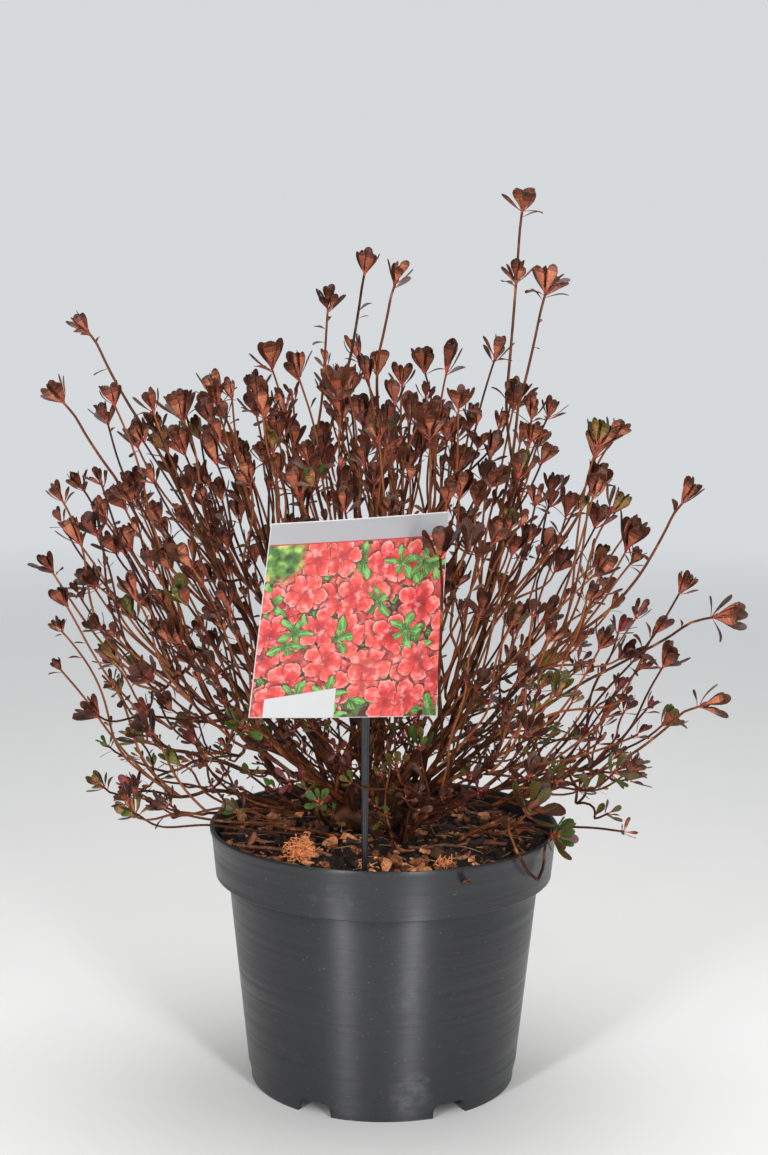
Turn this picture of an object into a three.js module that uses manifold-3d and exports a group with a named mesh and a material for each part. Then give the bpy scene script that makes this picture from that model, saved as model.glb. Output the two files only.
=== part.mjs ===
// A potted azalea in millimetres, +Z up, with the origin under the middle of the pot.
// The pot holds its compost, a low woody foot, tapering boughs that fan out from it, and the
// crown: uneven leafy masses with single leader shoots above them. A picture label stands at
// the front on its own stick. Azimuths are in degrees: 0 is +X and 90 is +Y, the back.
import * as THREE from "three";
import { mergeVertices } from "three/addons/utils/BufferGeometryUtils.js";
import Module from "manifold-3d";

const wasm = await Module();
wasm.setup();

// ---- driving dimensions -------------------------------------------------------------------

const GAP = 0.4; // air between neighbouring solids

const POT = {
  height: 213,
  rimRadius: 141.5,
  bandHeight: 41,
  bandFootRadius: 136.5,
  shoulderRadius: 126,
  baseRadius: 109.5,
  wall: 2,
  floorHeight: 13, // the raised ring of the floor, over the drainage channel
  padRadius: 58, // the middle of the floor, which stands level with the feet
  footWidth: 4,
  sides: 48,
};
const NOTCHES = { count: 6, width: 18, height: 11.5, firstAzimuth: -60 };
const DRAINS = { radius: 6, reach: 82 };

const COMPOST = { level: 201, mound: 7, sides: 36 };

const FOOT = { centre: [-12, 2], width: 58, depth: 46, top: 237, flare: 1.5, lobes: 5, sides: 20 };

const CARD = {
  centre: [-23, -150, 408.6],
  width: 143,
  height: 154,
  thickness: 1,
  yaw: 19.5,
  lean: 8.8,
  roll: 1.8,
};
// The stick is placed by its point behind the lower edge of the card.
const STICK = {
  point: [-14.5, -131.6, 331],
  below: 200,
  above: 30,
  width: 6.5,
  depth: 3,
  yaw: CARD.yaw,
  lean: 6.8,
};
const LABEL_ROOM = { around: 1.5, front: 90 }; // how far the foliage keeps off the label

// Each mass of foliage: where its middle is, and half its size across the radius from the pot's
// axis, along that radius, and upright.
const MASSES = [
  { name: "top_centre", azimuth: 110, reach: 30, height: 516, across: 92, along: 82, tall: 80 },
  { name: "top_left", azimuth: 178, reach: 134, height: 494, across: 82, along: 86, tall: 84 },
  { name: "top_right", azimuth: 6, reach: 112, height: 474, across: 80, along: 78, tall: 82 },
  { name: "top_back", azimuth: 96, reach: 130, height: 476, across: 112, along: 70, tall: 80 },
  { name: "top_front", azimuth: 270, reach: 84, height: 466, across: 96, along: 48, tall: 78 },
  { name: "left", azimuth: 176, reach: 198, height: 416, across: 92, along: 64, tall: 86 },
  { name: "right", azimuth: 2, reach: 158, height: 396, across: 90, along: 62, tall: 80 },
  { name: "front_left", azimuth: 221, reach: 192, height: 380, across: 76, along: 66, tall: 84 },
  { name: "front_right", azimuth: 313, reach: 180, height: 368, across: 84, along: 64, tall: 88 },
  { name: "back_left", azimuth: 137, reach: 196, height: 394, across: 88, along: 70, tall: 88 },
  { name: "back_right", azimuth: 48, reach: 190, height: 386, across: 92, along: 70, tall: 88 },
  { name: "low_left", azimuth: 192, reach: 188, height: 264, across: 72, along: 60, tall: 40 },
  { name: "low_right", azimuth: 354, reach: 168, height: 274, across: 74, along: 60, tall: 44 },
  { name: "low_back", azimuth: 86, reach: 172, height: 286, across: 96, along: 62, tall: 46 },
];
const LUMPS = { share: 0.14, massDetail: 2, tuftDetail: 1 };

const BOUGH = { footRadius: 6.5, tipRadius: 3.2, sides: 7, steps: 6 };

// Single shoots that stand clear of the masses: where each leaves them, its tip, and the
// half-width of the leafy tuft there.
const LEADERS = [
  { name: "tall_right", from: [90, 5, 505], tip: [104, 0, 716], tuft: 17 },
  { name: "tall_right_side", from: [92, -20, 515], tip: [122, -30, 652], tuft: 19 },
  { name: "centre_left", from: [-32, 15, 575], tip: [-18, 20, 664], tuft: 16 },
  { name: "centre_right", from: [-12, 45, 570], tip: [6, 50, 656], tuft: 17 },
  { name: "upper_middle", from: [-52, -10, 545], tip: [-46, -20, 637], tuft: 17 },
  { name: "upper_left", from: [-176, 0, 510], tip: [-236, 0, 617], tuft: 16 },
  { name: "outer_left", from: [-200, -20, 480], tip: [-251, -40, 566], tuft: 18 },
  { name: "far_right", from: [172, -40, 385], tip: [229, -60, 494], tuft: 17 },
  { name: "outer_right", from: [165, -60, 350], tip: [252, -85, 410], tuft: 20 },
  { name: "low_right", from: [180, -40, 270], tip: [247, -60, 335], tuft: 18 },
];
const LEADER = { footRadius: 2.2, tipRadius: 1.5, sides: 5, steps: 5 };

// ---- solids -------------------------------------------------------------------------------

const radians = THREE.MathUtils.degToRad;

/** A closed surface as a solid that can be joined and cut. */
function solidOf(geometry) {
  const bare = new THREE.BufferGeometry();
  bare.setAttribute("position", geometry.getAttribute("position").clone());
  if (geometry.index) bare.setIndex(geometry.index.clone());
  const merged = mergeVertices(bare, 1e-3);
  return new wasm.Manifold(
    new wasm.Mesh({
      numProp: 3,
      vertProperties: new Float32Array(merged.getAttribute("position").array),
      triVerts: new Uint32Array(merged.index.array),
    }),
  );
}

/** A solid's surface as a geometry. */
function geometryOf(solid) {
  const { vertProperties, triVerts } = solid.getMesh();
  const geometry = new THREE.BufferGeometry();
  geometry.setAttribute("position", new THREE.BufferAttribute(vertProperties, 3));
  geometry.setIndex(new THREE.BufferAttribute(triVerts, 1));
  geometry.computeVertexNormals();
  return geometry;
}

/** What is left of a solid once each of the others is cut away. */
const cutBy = (solid, others) => others.reduce((left, other) => left.subtract(other), solid);

/** A solid's largest body: cutting can leave crumbs beside it. */
function largestBody(solid) {
  return solid.decompose().reduce((best, body) => (body.volume() > best.volume() ? body : best));
}

/** The point at a distance from the pot's axis. */
function around(azimuth, reach, height) {
  const angle = radians(azimuth);
  return new THREE.Vector3(reach * Math.cos(angle), reach * Math.sin(angle), height);
}

/** A surface turned about +Z from [radius, height] pairs that start and end on the axis. */
function turned(profile, sides) {
  const points = profile.map(([radius, height]) => new THREE.Vector2(radius, height));
  return new THREE.LatheGeometry(points, sides).rotateX(Math.PI / 2);
}

/** A tapering limb: a closed cylinder whose rings are moved on to a curve. */
function limb(curve, footRadius, tipRadius, { sides, steps }) {
  const geometry = new THREE.CylinderGeometry(tipRadius, footRadius, 1, sides, steps);
  const frames = curve.computeFrenetFrames(steps, false);
  const position = geometry.getAttribute("position");
  for (let i = 0; i < position.count; i++) {
    const ring = Math.round((position.getY(i) + 0.5) * steps);
    const place = curve
      .getPointAt(ring / steps)
      .addScaledVector(frames.normals[ring], position.getZ(i))
      .addScaledVector(frames.binormals[ring], position.getX(i));
    position.setXYZ(i, place.x, place.y, place.z);
  }
  return geometry;
}

// ---- pot, compost and foot ----------------------------------------------------------------

function potSolid() {
  const { height, rimRadius, bandHeight, bandFootRadius, shoulderRadius, baseRadius } = POT;
  const { wall, floorHeight, padRadius, footWidth, sides } = POT;
  const shoulder = height - bandHeight;
  const channelFoot = baseRadius - footWidth;
  const shell = [
    [0, 0],
    [padRadius, 0],
    [padRadius + 4, floorHeight],
    [channelFoot - 2, floorHeight],
    [channelFoot, 0],
    [baseRadius, 0],
    [shoulderRadius, shoulder - 4],
    [shoulderRadius + 2, shoulder],
    [bandFootRadius, shoulder],
    [rimRadius, height - 2],
    [rimRadius, height],
    [rimRadius - 2 * wall, height],
    [rimRadius - 2 * wall, height - 4],
    [bandFootRadius - wall, shoulder + wall],
    [shoulderRadius, shoulder + wall],
    [shoulderRadius - wall, shoulder - 4],
    [channelFoot - 2, floorHeight + wall],
    [padRadius + 4 - wall, floorHeight + wall],
    [padRadius - wall, wall],
    [0, wall],
  ];
  const cuts = [];
  for (let i = 0; i < NOTCHES.count; i++) {
    const azimuth = NOTCHES.firstAzimuth + (i * 360) / NOTCHES.count;
    const notch = new THREE.BoxGeometry(5 * footWidth, NOTCHES.width, 2 * NOTCHES.height)
      .translate(baseRadius, 0, 0)
      .rotateZ(radians(azimuth));
    const drain = new THREE.CylinderGeometry(DRAINS.radius, DRAINS.radius, 4 * wall, 8)
      .rotateX(Math.PI / 2)
      .translate(DRAINS.reach, 0, floorHeight + wall / 2)
      .rotateZ(radians(azimuth));
    cuts.push(solidOf(notch), solidOf(drain));
  }
  return largestBody(cutBy(solidOf(turned(shell, sides)), cuts));
}

/** The compost fills the pot and rises a little to the middle, where the foot stands. */
function compostSolid() {
  const { height, bandHeight, bandFootRadius, shoulderRadius, baseRadius } = POT;
  const { wall, floorHeight, padRadius, footWidth } = POT;
  const shoulder = height - bandHeight;
  const inset = wall + 2 * GAP;
  const top = COMPOST.level + COMPOST.mound;
  const body = [
    [0, wall + GAP],
    [padRadius - inset - 2, wall + GAP],
    [padRadius, floorHeight + wall + GAP],
    [baseRadius - footWidth - 2 - inset, floorHeight + wall + GAP],
    [shoulderRadius - inset, shoulder - 4],
    [shoulderRadius - inset, shoulder + wall + GAP],
    [bandFootRadius - inset, shoulder + wall + GAP],
    [bandFootRadius - inset, COMPOST.level - 3],
    [bandFootRadius - inset - 12, COMPOST.level],
    [FOOT.width, top],
    [0, top],
  ];
  return solidOf(turned(body, COMPOST.sides));
}

/** The woody foot that every bough leaves, cut flat below and flared where its roots go down. */
function footSolid(clearance = 0) {
  const { centre, width, depth, top, flare, lobes, sides } = FOOT;
  const base = COMPOST.level + COMPOST.mound + GAP - clearance;
  const height = top - base + clearance;
  const geometry = new THREE.CylinderGeometry(1, 1, height, sides, 3)
    .rotateX(Math.PI / 2)
    .translate(0, 0, height / 2);
  const position = geometry.getAttribute("position");
  for (let i = 0; i < position.count; i++) {
    const low = 1 - position.getZ(i) / height;
    const angle = Math.atan2(position.getY(i), position.getX(i));
    const spread = 1 + (flare - 1) * low ** 2 * (1 + 0.35 * Math.cos(lobes * angle));
    position.setX(i, position.getX(i) * spread * (width / 2 + clearance));
    position.setY(i, position.getY(i) * spread * (depth / 2 + clearance));
  }
  return solidOf(geometry.translate(centre[0], centre[1], base));
}

// ---- label --------------------------------------------------------------------------------

/** The card, or the room it needs with a clearance around it and more of it in front. */
function cardGeometry(clearance = 0, front = clearance) {
  const { width, height, thickness } = CARD;
  const grow = 2 * clearance;
  return new THREE.BoxGeometry(
    width + grow,
    thickness + clearance + front,
    height + grow,
  ).translate(0, (clearance - front) / 2, 0);
}

/** The stick about its placing point, grown by a clearance where it cuts its neighbours. */
function stickGeometry(clearance = 0) {
  const { width, depth, below, above } = STICK;
  const grow = 2 * clearance;
  return new THREE.BoxGeometry(width + grow, depth + grow, below + above + grow).translate(
    0,
    0,
    (above - below) / 2,
  );
}

// ---- crown --------------------------------------------------------------------------------

/** How far an uneven surface stands out in a direction, from -1 to 1, in waves set by a seed. */
function unevenness({ x, y, z }, seed) {
  return (
    0.5 * Math.sin(3.1 * x + 2.3 * y + seed) +
    0.3 * Math.sin(4.7 * z - 3.9 * x + 2.1 * seed) +
    0.2 * Math.sin(6.3 * y + 5.2 * z + 3.7 * seed)
  );
}

/** A closed uneven blob about the origin, with half-sizes along X, Y and Z. */
function blob(halfX, halfY, halfZ, seed, detail) {
  const geometry = new THREE.IcosahedronGeometry(1, detail);
  const position = geometry.getAttribute("position");
  const way = new THREE.Vector3();
  for (let i = 0; i < position.count; i++) {
    way.fromBufferAttribute(position, i).normalize();
    const out = 1 + LUMPS.share * unevenness(way, seed);
    position.setXYZ(i, halfX * way.x * out, halfY * way.y * out, halfZ * way.z * out);
  }
  return geometry;
}

/** A mass of foliage, grown by a clearance where it cuts its neighbours. */
function massSolid({ azimuth, reach, height, across, along, tall }, seed, clearance = 0) {
  const sizes = [along, across, tall].map((half) => half + clearance);
  const lump = blob(...sizes, seed, LUMPS.massDetail);
  return solidOf(lump.translate(reach, 0, height).rotateZ(radians(azimuth)));
}

/** The line of a bough: low boughs leave the foot's side and high ones its top. */
function boughCurve({ azimuth, reach, height }) {
  const rank = THREE.MathUtils.mapLinear(height, 264, 516, 0, 1);
  const rim = THREE.MathUtils.lerp(0.45, 0.2, rank);
  const angle = radians(azimuth);
  const foot = new THREE.Vector3(
    FOOT.centre[0] + FOOT.width * rim * Math.cos(angle),
    FOOT.centre[1] + FOOT.depth * rim * Math.sin(angle),
    FOOT.top - THREE.MathUtils.lerp(16, 2, rank),
  );
  const bend = around(azimuth, 0.4 * reach + FOOT.depth / 2, foot.z + 0.3 * (height - foot.z));
  return new THREE.QuadraticBezierCurve3(foot, bend, around(azimuth, reach, height));
}

function boughSolid(mass, clearance = 0) {
  const { footRadius, tipRadius } = BOUGH;
  return solidOf(limb(boughCurve(mass), footRadius + clearance, tipRadius + clearance, BOUGH));
}

/** A leader's line leans out at first and then stands up. */
function leaderSolid({ from, tip }) {
  const foot = new THREE.Vector3(...from);
  const end = new THREE.Vector3(...tip);
  const bend = foot.clone().lerp(end, 0.5);
  bend.x += 0.12 * (end.x - foot.x);
  bend.z -= 0.04 * (end.z - foot.z);
  const curve = new THREE.QuadraticBezierCurve3(foot, bend, end);
  return solidOf(limb(curve, LEADER.footRadius, LEADER.tipRadius, LEADER));
}

function tuftSolid({ tip, tuft }, seed, clearance = 0) {
  const half = tuft + clearance;
  const lump = blob(half, half, half, seed, LUMPS.tuftDetail);
  return solidOf(lump.translate(tip[0], tip[1], tip[2] - 0.1 * tuft));
}

// ---- the assembly -------------------------------------------------------------------------

const FINISHES = {
  pot: { color: 0x37383b, roughness: 0.42, metalness: 0 },
  compost: { color: 0x33231a, roughness: 0.95, metalness: 0 },
  bark: { color: 0x5a3d2b, roughness: 0.85, metalness: 0 },
  shoot: { color: 0x8a5232, roughness: 0.6, metalness: 0 },
  foliage: { color: 0x6b3226, roughness: 0.55, metalness: 0 },
  card: { color: 0xe9e6e0, roughness: 0.3, metalness: 0 },
  stick: { color: 0x17181a, roughness: 0.4, metalness: 0 },
};

/** Adds a named mesh to a group. */
function add(group, name, geometry, finish) {
  const mesh = new THREE.Mesh(geometry, new THREE.MeshStandardMaterial(FINISHES[finish]));
  mesh.name = name;
  group.add(mesh);
  return mesh;
}

/** A geometry, given in a mesh's own frame, as a solid in the frame of the whole plant. */
function solidInPlace(geometry, mesh) {
  mesh.updateWorldMatrix(true, false);
  return solidOf(geometry.applyMatrix4(mesh.matrixWorld));
}

const azalea = new THREE.Group();
const container = new THREE.Group();
const label = new THREE.Group();
const crown = new THREE.Group();
azalea.add(container, label, crown);

const card = add(label, "label_card", cardGeometry(), "card");
card.position.set(...CARD.centre);
card.rotation.set(radians(CARD.lean), radians(CARD.roll), radians(CARD.yaw), "ZXY");

const stick = add(label, "label_stick", stickGeometry(), "stick");
stick.position.set(...STICK.point);
stick.rotation.set(radians(STICK.lean), 0, radians(STICK.yaw), "XYZ");

const stickSocket = solidInPlace(stickGeometry(GAP), stick);
add(container, "pot", geometryOf(potSolid()), "pot");
add(container, "compost", geometryOf(compostSolid().subtract(stickSocket)), "compost");
add(crown, "stem_foot", geometryOf(footSolid()), "bark");

// A mass is cut back where it meets an earlier one, and round the label.
const labelRoom = [
  solidInPlace(cardGeometry(LABEL_ROOM.around, LABEL_ROOM.front), card),
  solidInPlace(stickGeometry(LABEL_ROOM.around), stick),
];
const massRooms = [];
MASSES.forEach((mass, seed) => {
  const body = largestBody(cutBy(massSolid(mass, seed), [...labelRoom, ...massRooms]));
  add(crown, "mass_" + mass.name, geometryOf(body), "foliage");
  massRooms.push(massSolid(mass, seed, 2 * GAP));
});

// A bough starts at the surface of the foot, keeps clear of earlier boughs and ends at a mass.
const boughRooms = [footSolid(GAP)];
for (const mass of MASSES) {
  const body = largestBody(cutBy(boughSolid(mass), [...boughRooms, ...labelRoom, ...massRooms]));
  add(crown, "bough_" + mass.name, geometryOf(body), "bark");
  boughRooms.push(boughSolid(mass, GAP));
}

LEADERS.forEach((leader, seed) => {
  const shoot = cutBy(leaderSolid(leader), [tuftSolid(leader, seed, GAP), ...massRooms]);
  const tuft = cutBy(tuftSolid(leader, seed), massRooms);
  add(crown, "shoot_" + leader.name, geometryOf(largestBody(shoot)), "shoot");
  add(crown, "tuft_" + leader.name, geometryOf(largestBody(tuft)), "foliage");
});

export default azalea;
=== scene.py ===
"""A potted azalea in bronze winter leaf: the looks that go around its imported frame.

The pot, its compost with chips and dry litter, the label and the woody foot are modelled pieces.
The crown grows from the frame's boughs by a seeded branching rule that fills the frame's masses
and leader shoots. Lengths are in metres and angles in degrees, unless a name says otherwise.
"""

import math

import bpy
import numpy as np
from mathutils import Matrix, Vector
from mathutils.bvhtree import BVHTree


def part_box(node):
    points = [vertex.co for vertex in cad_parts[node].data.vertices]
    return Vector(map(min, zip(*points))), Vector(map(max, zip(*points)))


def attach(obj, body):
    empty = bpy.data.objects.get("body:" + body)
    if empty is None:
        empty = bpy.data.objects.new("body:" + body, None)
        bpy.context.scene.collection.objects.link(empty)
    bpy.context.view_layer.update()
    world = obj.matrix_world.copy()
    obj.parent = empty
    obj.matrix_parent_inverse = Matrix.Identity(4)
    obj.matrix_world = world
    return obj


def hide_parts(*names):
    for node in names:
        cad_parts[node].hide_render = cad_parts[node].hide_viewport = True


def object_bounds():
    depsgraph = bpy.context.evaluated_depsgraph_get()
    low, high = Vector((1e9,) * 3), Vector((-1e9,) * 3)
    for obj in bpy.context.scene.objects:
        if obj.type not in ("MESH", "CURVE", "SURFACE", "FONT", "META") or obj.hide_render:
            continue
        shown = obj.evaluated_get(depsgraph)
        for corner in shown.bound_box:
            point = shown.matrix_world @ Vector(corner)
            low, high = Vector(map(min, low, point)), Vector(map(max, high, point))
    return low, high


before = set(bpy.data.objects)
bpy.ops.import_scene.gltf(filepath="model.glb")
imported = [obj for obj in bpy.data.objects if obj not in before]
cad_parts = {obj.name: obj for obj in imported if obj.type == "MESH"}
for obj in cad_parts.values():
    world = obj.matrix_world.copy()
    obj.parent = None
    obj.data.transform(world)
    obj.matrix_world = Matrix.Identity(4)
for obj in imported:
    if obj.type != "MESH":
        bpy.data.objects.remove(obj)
cad_box = [list(corner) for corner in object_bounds()]
bpy.ops.object.select_all(action="DESELECT")

MM = 0.001
GOLDEN_TURN = math.radians(137.5)
UP = np.array([0.0, 0.0, 1.0])

# ---- camera and studio --------------------------------------------------------------------

CAMERA_PLACE = (-0.0013, -1.7688, 0.7079)
CAMERA_PITCH = 9.42  # below level
CAMERA_ROLL = 0.41
LENS = 69.9  # on a 36 mm sensor, along the picture's long side
STUDIO_FILL = 0.26  # how strongly the pale surroundings light the plant
STUDIO_PAPER = 0.72  # how pale they look
FILL_COLOUR = (1.0, 0.98, 0.95, 1)
PAPER_COLOUR = (0.93, 0.97, 1.0, 1)
LIGHTS_AIM = Vector((0, 0, 0.38))  # the middle of the plant
SOFTBOXES = (
    # (name, its turn from the front, its distance, its height, its width, its length, its power)
    ("softbox_left", -28, 1.9, 0.95, 0.13, 1.85, 29),
    ("softbox_right", 21.5, 1.9, 0.95, 0.18, 1.85, 33),
    ("softbox_top", 170, 0.5, 2.2, 1.8, 1.8, 42),
)


def make_camera():
    """The camera in front of the plant, about as high as its top and tipped down a little."""
    data = bpy.data.cameras.new("camera")
    data.lens = LENS
    data.sensor_width = 36
    camera = bpy.data.objects.new("camera", data)
    bpy.context.scene.collection.objects.link(camera)
    camera.location = CAMERA_PLACE
    tilt = Matrix.Rotation(math.radians(90 - CAMERA_PITCH), 4, "X")
    roll = Matrix.Rotation(math.radians(CAMERA_ROLL), 4, "Z")
    camera.rotation_euler = (tilt @ roll).to_euler()
    bpy.context.scene.camera = camera


def make_softbox(name, turn, distance, height, width, length, power):
    """An area light that faces the plant. Turn 0 is in front, and positive is to the right."""
    data = bpy.data.lights.new(name, "AREA")
    data.shape = "RECTANGLE"
    data.size = width
    data.size_y = length
    data.energy = power
    light = bpy.data.objects.new(name, data)
    bpy.context.scene.collection.objects.link(light)
    angle = math.radians(turn)
    light.location = (distance * math.sin(angle), -distance * math.cos(angle), height)
    facing = LIGHTS_AIM - light.location
    light.rotation_euler = facing.to_track_quat("-Z", "Y").to_euler()


def make_studio():
    """Pale surroundings, seen brighter by the camera than they light the plant, and three lights."""
    scene = bpy.context.scene
    scene.view_settings.view_transform = "Standard"
    world = bpy.data.worlds.new("studio")
    world.use_nodes = True
    nodes, links = world.node_tree.nodes, world.node_tree.links
    rays = nodes.new("ShaderNodeLightPath")
    shade = nodes.new("ShaderNodeValToRGB")
    links.new(shade.inputs["Fac"], rays.outputs["Is Camera Ray"])
    shade.color_ramp.elements[0].color = FILL_COLOUR
    shade.color_ramp.elements[1].color = PAPER_COLOUR
    links.new(nodes["Background"].inputs["Color"], shade.outputs["Color"])
    strength = nodes.new("ShaderNodeMapRange")
    links.new(strength.inputs["Value"], rays.outputs["Is Camera Ray"])
    strength.inputs["To Min"].default_value = STUDIO_FILL
    strength.inputs["To Max"].default_value = STUDIO_PAPER
    links.new(nodes["Background"].inputs["Strength"], strength.outputs["Result"])
    scene.world = world
    for softbox in SOFTBOXES:
        make_softbox(*softbox)


# ---- finishes -----------------------------------------------------------------------------


class Finish:
    """A material in the making: its nodes are added and linked by short calls."""

    def __init__(self, name, colour, roughness, **sockets):
        self.material = bpy.data.materials.new(name)
        self.material.use_nodes = True
        self.material.diffuse_color = (*colour, 1)
        self.tree = self.material.node_tree
        self.shader = self.tree.nodes["Principled BSDF"]
        self.shader.inputs["Base Color"].default_value = (*colour, 1)
        self.shader.inputs["Roughness"].default_value = roughness
        for socket, value in sockets.items():
            self.shader.inputs[socket.replace("_", " ")].default_value = value

    def add(self, kind, *links, **settings):
        """A node with its settings; links are (its input, another node's output)."""
        node = self.tree.nodes.new("ShaderNode" + kind)
        for name, value in settings.items():
            if hasattr(node, name):
                setattr(node, name, value)
            else:
                node.inputs[name.replace("_", " ")].default_value = value
        for own, other in links:
            self.tree.links.new(node.inputs[own], other)
        return node

    def drive(self, socket, output):
        self.tree.links.new(self.shader.inputs[socket], output)

    def feed(self, socket, value):
        """Links another node's output to a socket, or sets a colour or a number there."""
        if isinstance(value, bpy.types.NodeSocket):
            self.tree.links.new(socket, value)
        else:
            socket.default_value = (*value, 1) if isinstance(value, tuple) else value

    def places(self, scale=(1, 1, 1)):
        """Object coordinates, stretched."""
        coordinates = self.add("TexCoord")
        return self.add("Mapping", ("Vector", coordinates.outputs["Object"]), Scale=scale).outputs[0]

    def noise(self, places, scale, detail, roughness=0.55):
        """Cloudy noise from 0 to 1."""
        settings = {"Scale": scale, "Detail": detail, "Roughness": roughness}
        return self.add("TexNoise", ("Vector", places), **settings).outputs["Fac"]

    def ramp(self, factor, *stops):
        """Colours or greys along a factor: each stop is (position, colour or grey)."""
        node = self.add("ValToRGB", ("Fac", factor))
        elements = node.color_ramp.elements
        while len(elements) < len(stops):
            elements.new(0.5)
        for element, (position, colour) in zip(elements, stops):
            element.position = position
            shade = (colour,) * 3 if isinstance(colour, (int, float)) else colour
            element.color = (*shade, 1)
        return node.outputs["Color"]

    def mix(self, factor, first, second):
        """The first colour where the factor is 0, and the second where it is 1."""
        node = self.add("Mix", data_type="RGBA")
        colours = [i for i in node.inputs if i.type == "RGBA"]
        for socket, value in zip((node.inputs[0], *colours), (factor, first, second)):
            self.feed(socket, value)
        return next(o for o in node.outputs if o.type == "RGBA")

    def maths(self, operation, first, second=0.0):
        node = self.add("Math", operation=operation)
        for socket, value in zip(node.inputs, (first, second)):
            self.feed(socket, value)
        return node.outputs[0]

    def times(self, first, second):
        return self.maths("MULTIPLY", first, second)

    def plus(self, first, second):
        return self.maths("ADD", first, second)

    def bump(self, height, strength, distance):
        node = self.add("Bump", ("Height", height), Strength=strength, Distance=distance)
        self.drive("Normal", node.outputs["Normal"])


def pot_plastic():
    """Dark grey moulded plastic with fine drag lines round it, dust and dried splashes."""
    finish = Finish(
        "pot_plastic",
        (0.034, 0.035, 0.040),
        0.45,
        Anisotropic=0.9,
        Anisotropic_Rotation=0.25,
        Specular_IOR_Level=0.65,
    )
    finish.drive("Tangent", finish.add("Tangent", direction_type="RADIAL", axis="Z").outputs[0])
    places = finish.places()
    drag = finish.noise(finish.places((5, 5, 380)), 1.0, 3)
    broad = finish.noise(places, 14, 3)
    dust = finish.ramp(finish.noise(places, 420, 2), (0.70, 0.0), (0.76, 1.0))
    splash = finish.times(
        finish.ramp(finish.noise(places, 26, 4, 0.7), (0.60, 0.0), (0.74, 1.0)),
        finish.ramp(finish.noise(places, 9, 2), (0.50, 0.0), (0.62, 1.0)),
    )
    body = finish.mix(broad, (0.009, 0.0095, 0.012), (0.015, 0.016, 0.019))
    body = finish.mix(finish.times(dust, 0.4), body, (0.20, 0.17, 0.14))
    body = finish.mix(finish.times(splash, 0.2), body, (0.22, 0.22, 0.23))
    finish.drive("Base Color", body)
    rough = finish.plus(finish.times(drag, 0.32), 0.18)
    rough = finish.plus(rough, finish.times(broad, 0.12))
    finish.drive("Roughness", finish.plus(rough, finish.times(splash, 0.25)))
    finish.bump(finish.plus(drag, finish.times(dust, 0.4)), 0.35, 0.0005)
    return finish.material


def damp_compost():
    """Dark crumbly compost with drier patches."""
    finish = Finish("damp_compost", (0.03, 0.018, 0.011), 0.85, Specular_IOR_Level=0.3)
    places = finish.places()
    grains = finish.noise(places, 170, 6, 0.75)
    patches = finish.noise(places, 34, 3)
    colour = finish.ramp(
        grains,
        (0.34, (0.004, 0.003, 0.002)),
        (0.54, (0.020, 0.010, 0.006)),
        (0.74, (0.085, 0.038, 0.018)),
    )
    dry = finish.ramp(patches, (0.45, 0.0), (0.65, 0.6))
    finish.drive("Base Color", finish.mix(dry, colour, (0.010, 0.006, 0.004)))
    finish.bump(grains, 1.0, 0.004)
    return finish.material


def mottled(name, colour, roughness, shine, scale, depth, dark=0.72, light=1.22):
    """One colour with small lighter and darker spots, and dents to match them."""
    finish = Finish(name, colour, roughness, Specular_IOR_Level=shine)
    spots = finish.noise(finish.places(), scale, 4, 0.65)
    darker, lighter = (tuple(min(1, share * c) for c in colour) for share in (dark, light))
    finish.drive("Base Color", finish.ramp(spots, (0.36, darker), (0.64, lighter)))
    finish.bump(spots, 0.6, depth)
    return finish.material


BARK_ROUND, BARK_ALONG = 900, 70  # how close the stripes of bark are, round a limb and along it
BARKS = {
    # name: (its dark stripes, its light stripes, its peeling flecks)
    # old bark is the old wood's own, and also the painted shade on twigs and on stems near the axis or
    # low
    "old_bark": ((0.011, 0.004, 0.0015), (0.060, 0.018, 0.006), (0.34, 0.118, 0.040)),
    "brown_bark": ((0.038, 0.011, 0.003), (0.160, 0.046, 0.015), (0.44, 0.156, 0.058)),
    "young_bark": ((0.110, 0.034, 0.012), (0.25, 0.077, 0.028), (0.36, 0.135, 0.056)),
    # dusky bark is a darker copy of the young, dealt at random and low down as painted shade
    "dusky_bark": ((0.025, 0.007, 0.003), (0.074, 0.019, 0.009), (0.17, 0.050, 0.022)),
    "foot_bark": ((0.010, 0.005, 0.003), (0.046, 0.017, 0.008), (0.12, 0.044, 0.018)),
}


def bark(name, stripes=1.0):
    """Bark that follows each limb by its own grain places: stripes along it and peeling flecks."""
    dark, light, peel = BARKS[name]
    finish = Finish(name, light, 0.6, Specular_IOR_Level=0.14)
    own = finish.add("Attribute", attribute_name="grain").outputs["Vector"]
    stretch = (BARK_ROUND * stripes, BARK_ROUND * stripes, BARK_ALONG)
    along = finish.add("Mapping", ("Vector", own), Scale=stretch).outputs[0]
    fine = finish.noise(along, 1.0, 5, 0.65)
    patches = finish.noise(own, 60, 3)
    colour = finish.mix(finish.ramp(fine, (0.35, 0.0), (0.65, 1.0)), dark, light)
    flecks = finish.ramp(patches, (0.54, 0.0), (0.68, 1.0))
    finish.drive("Base Color", finish.mix(finish.times(flecks, 0.7), colour, peel))
    finish.bump(fine, 0.7, 0.0006)
    return finish.material


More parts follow.
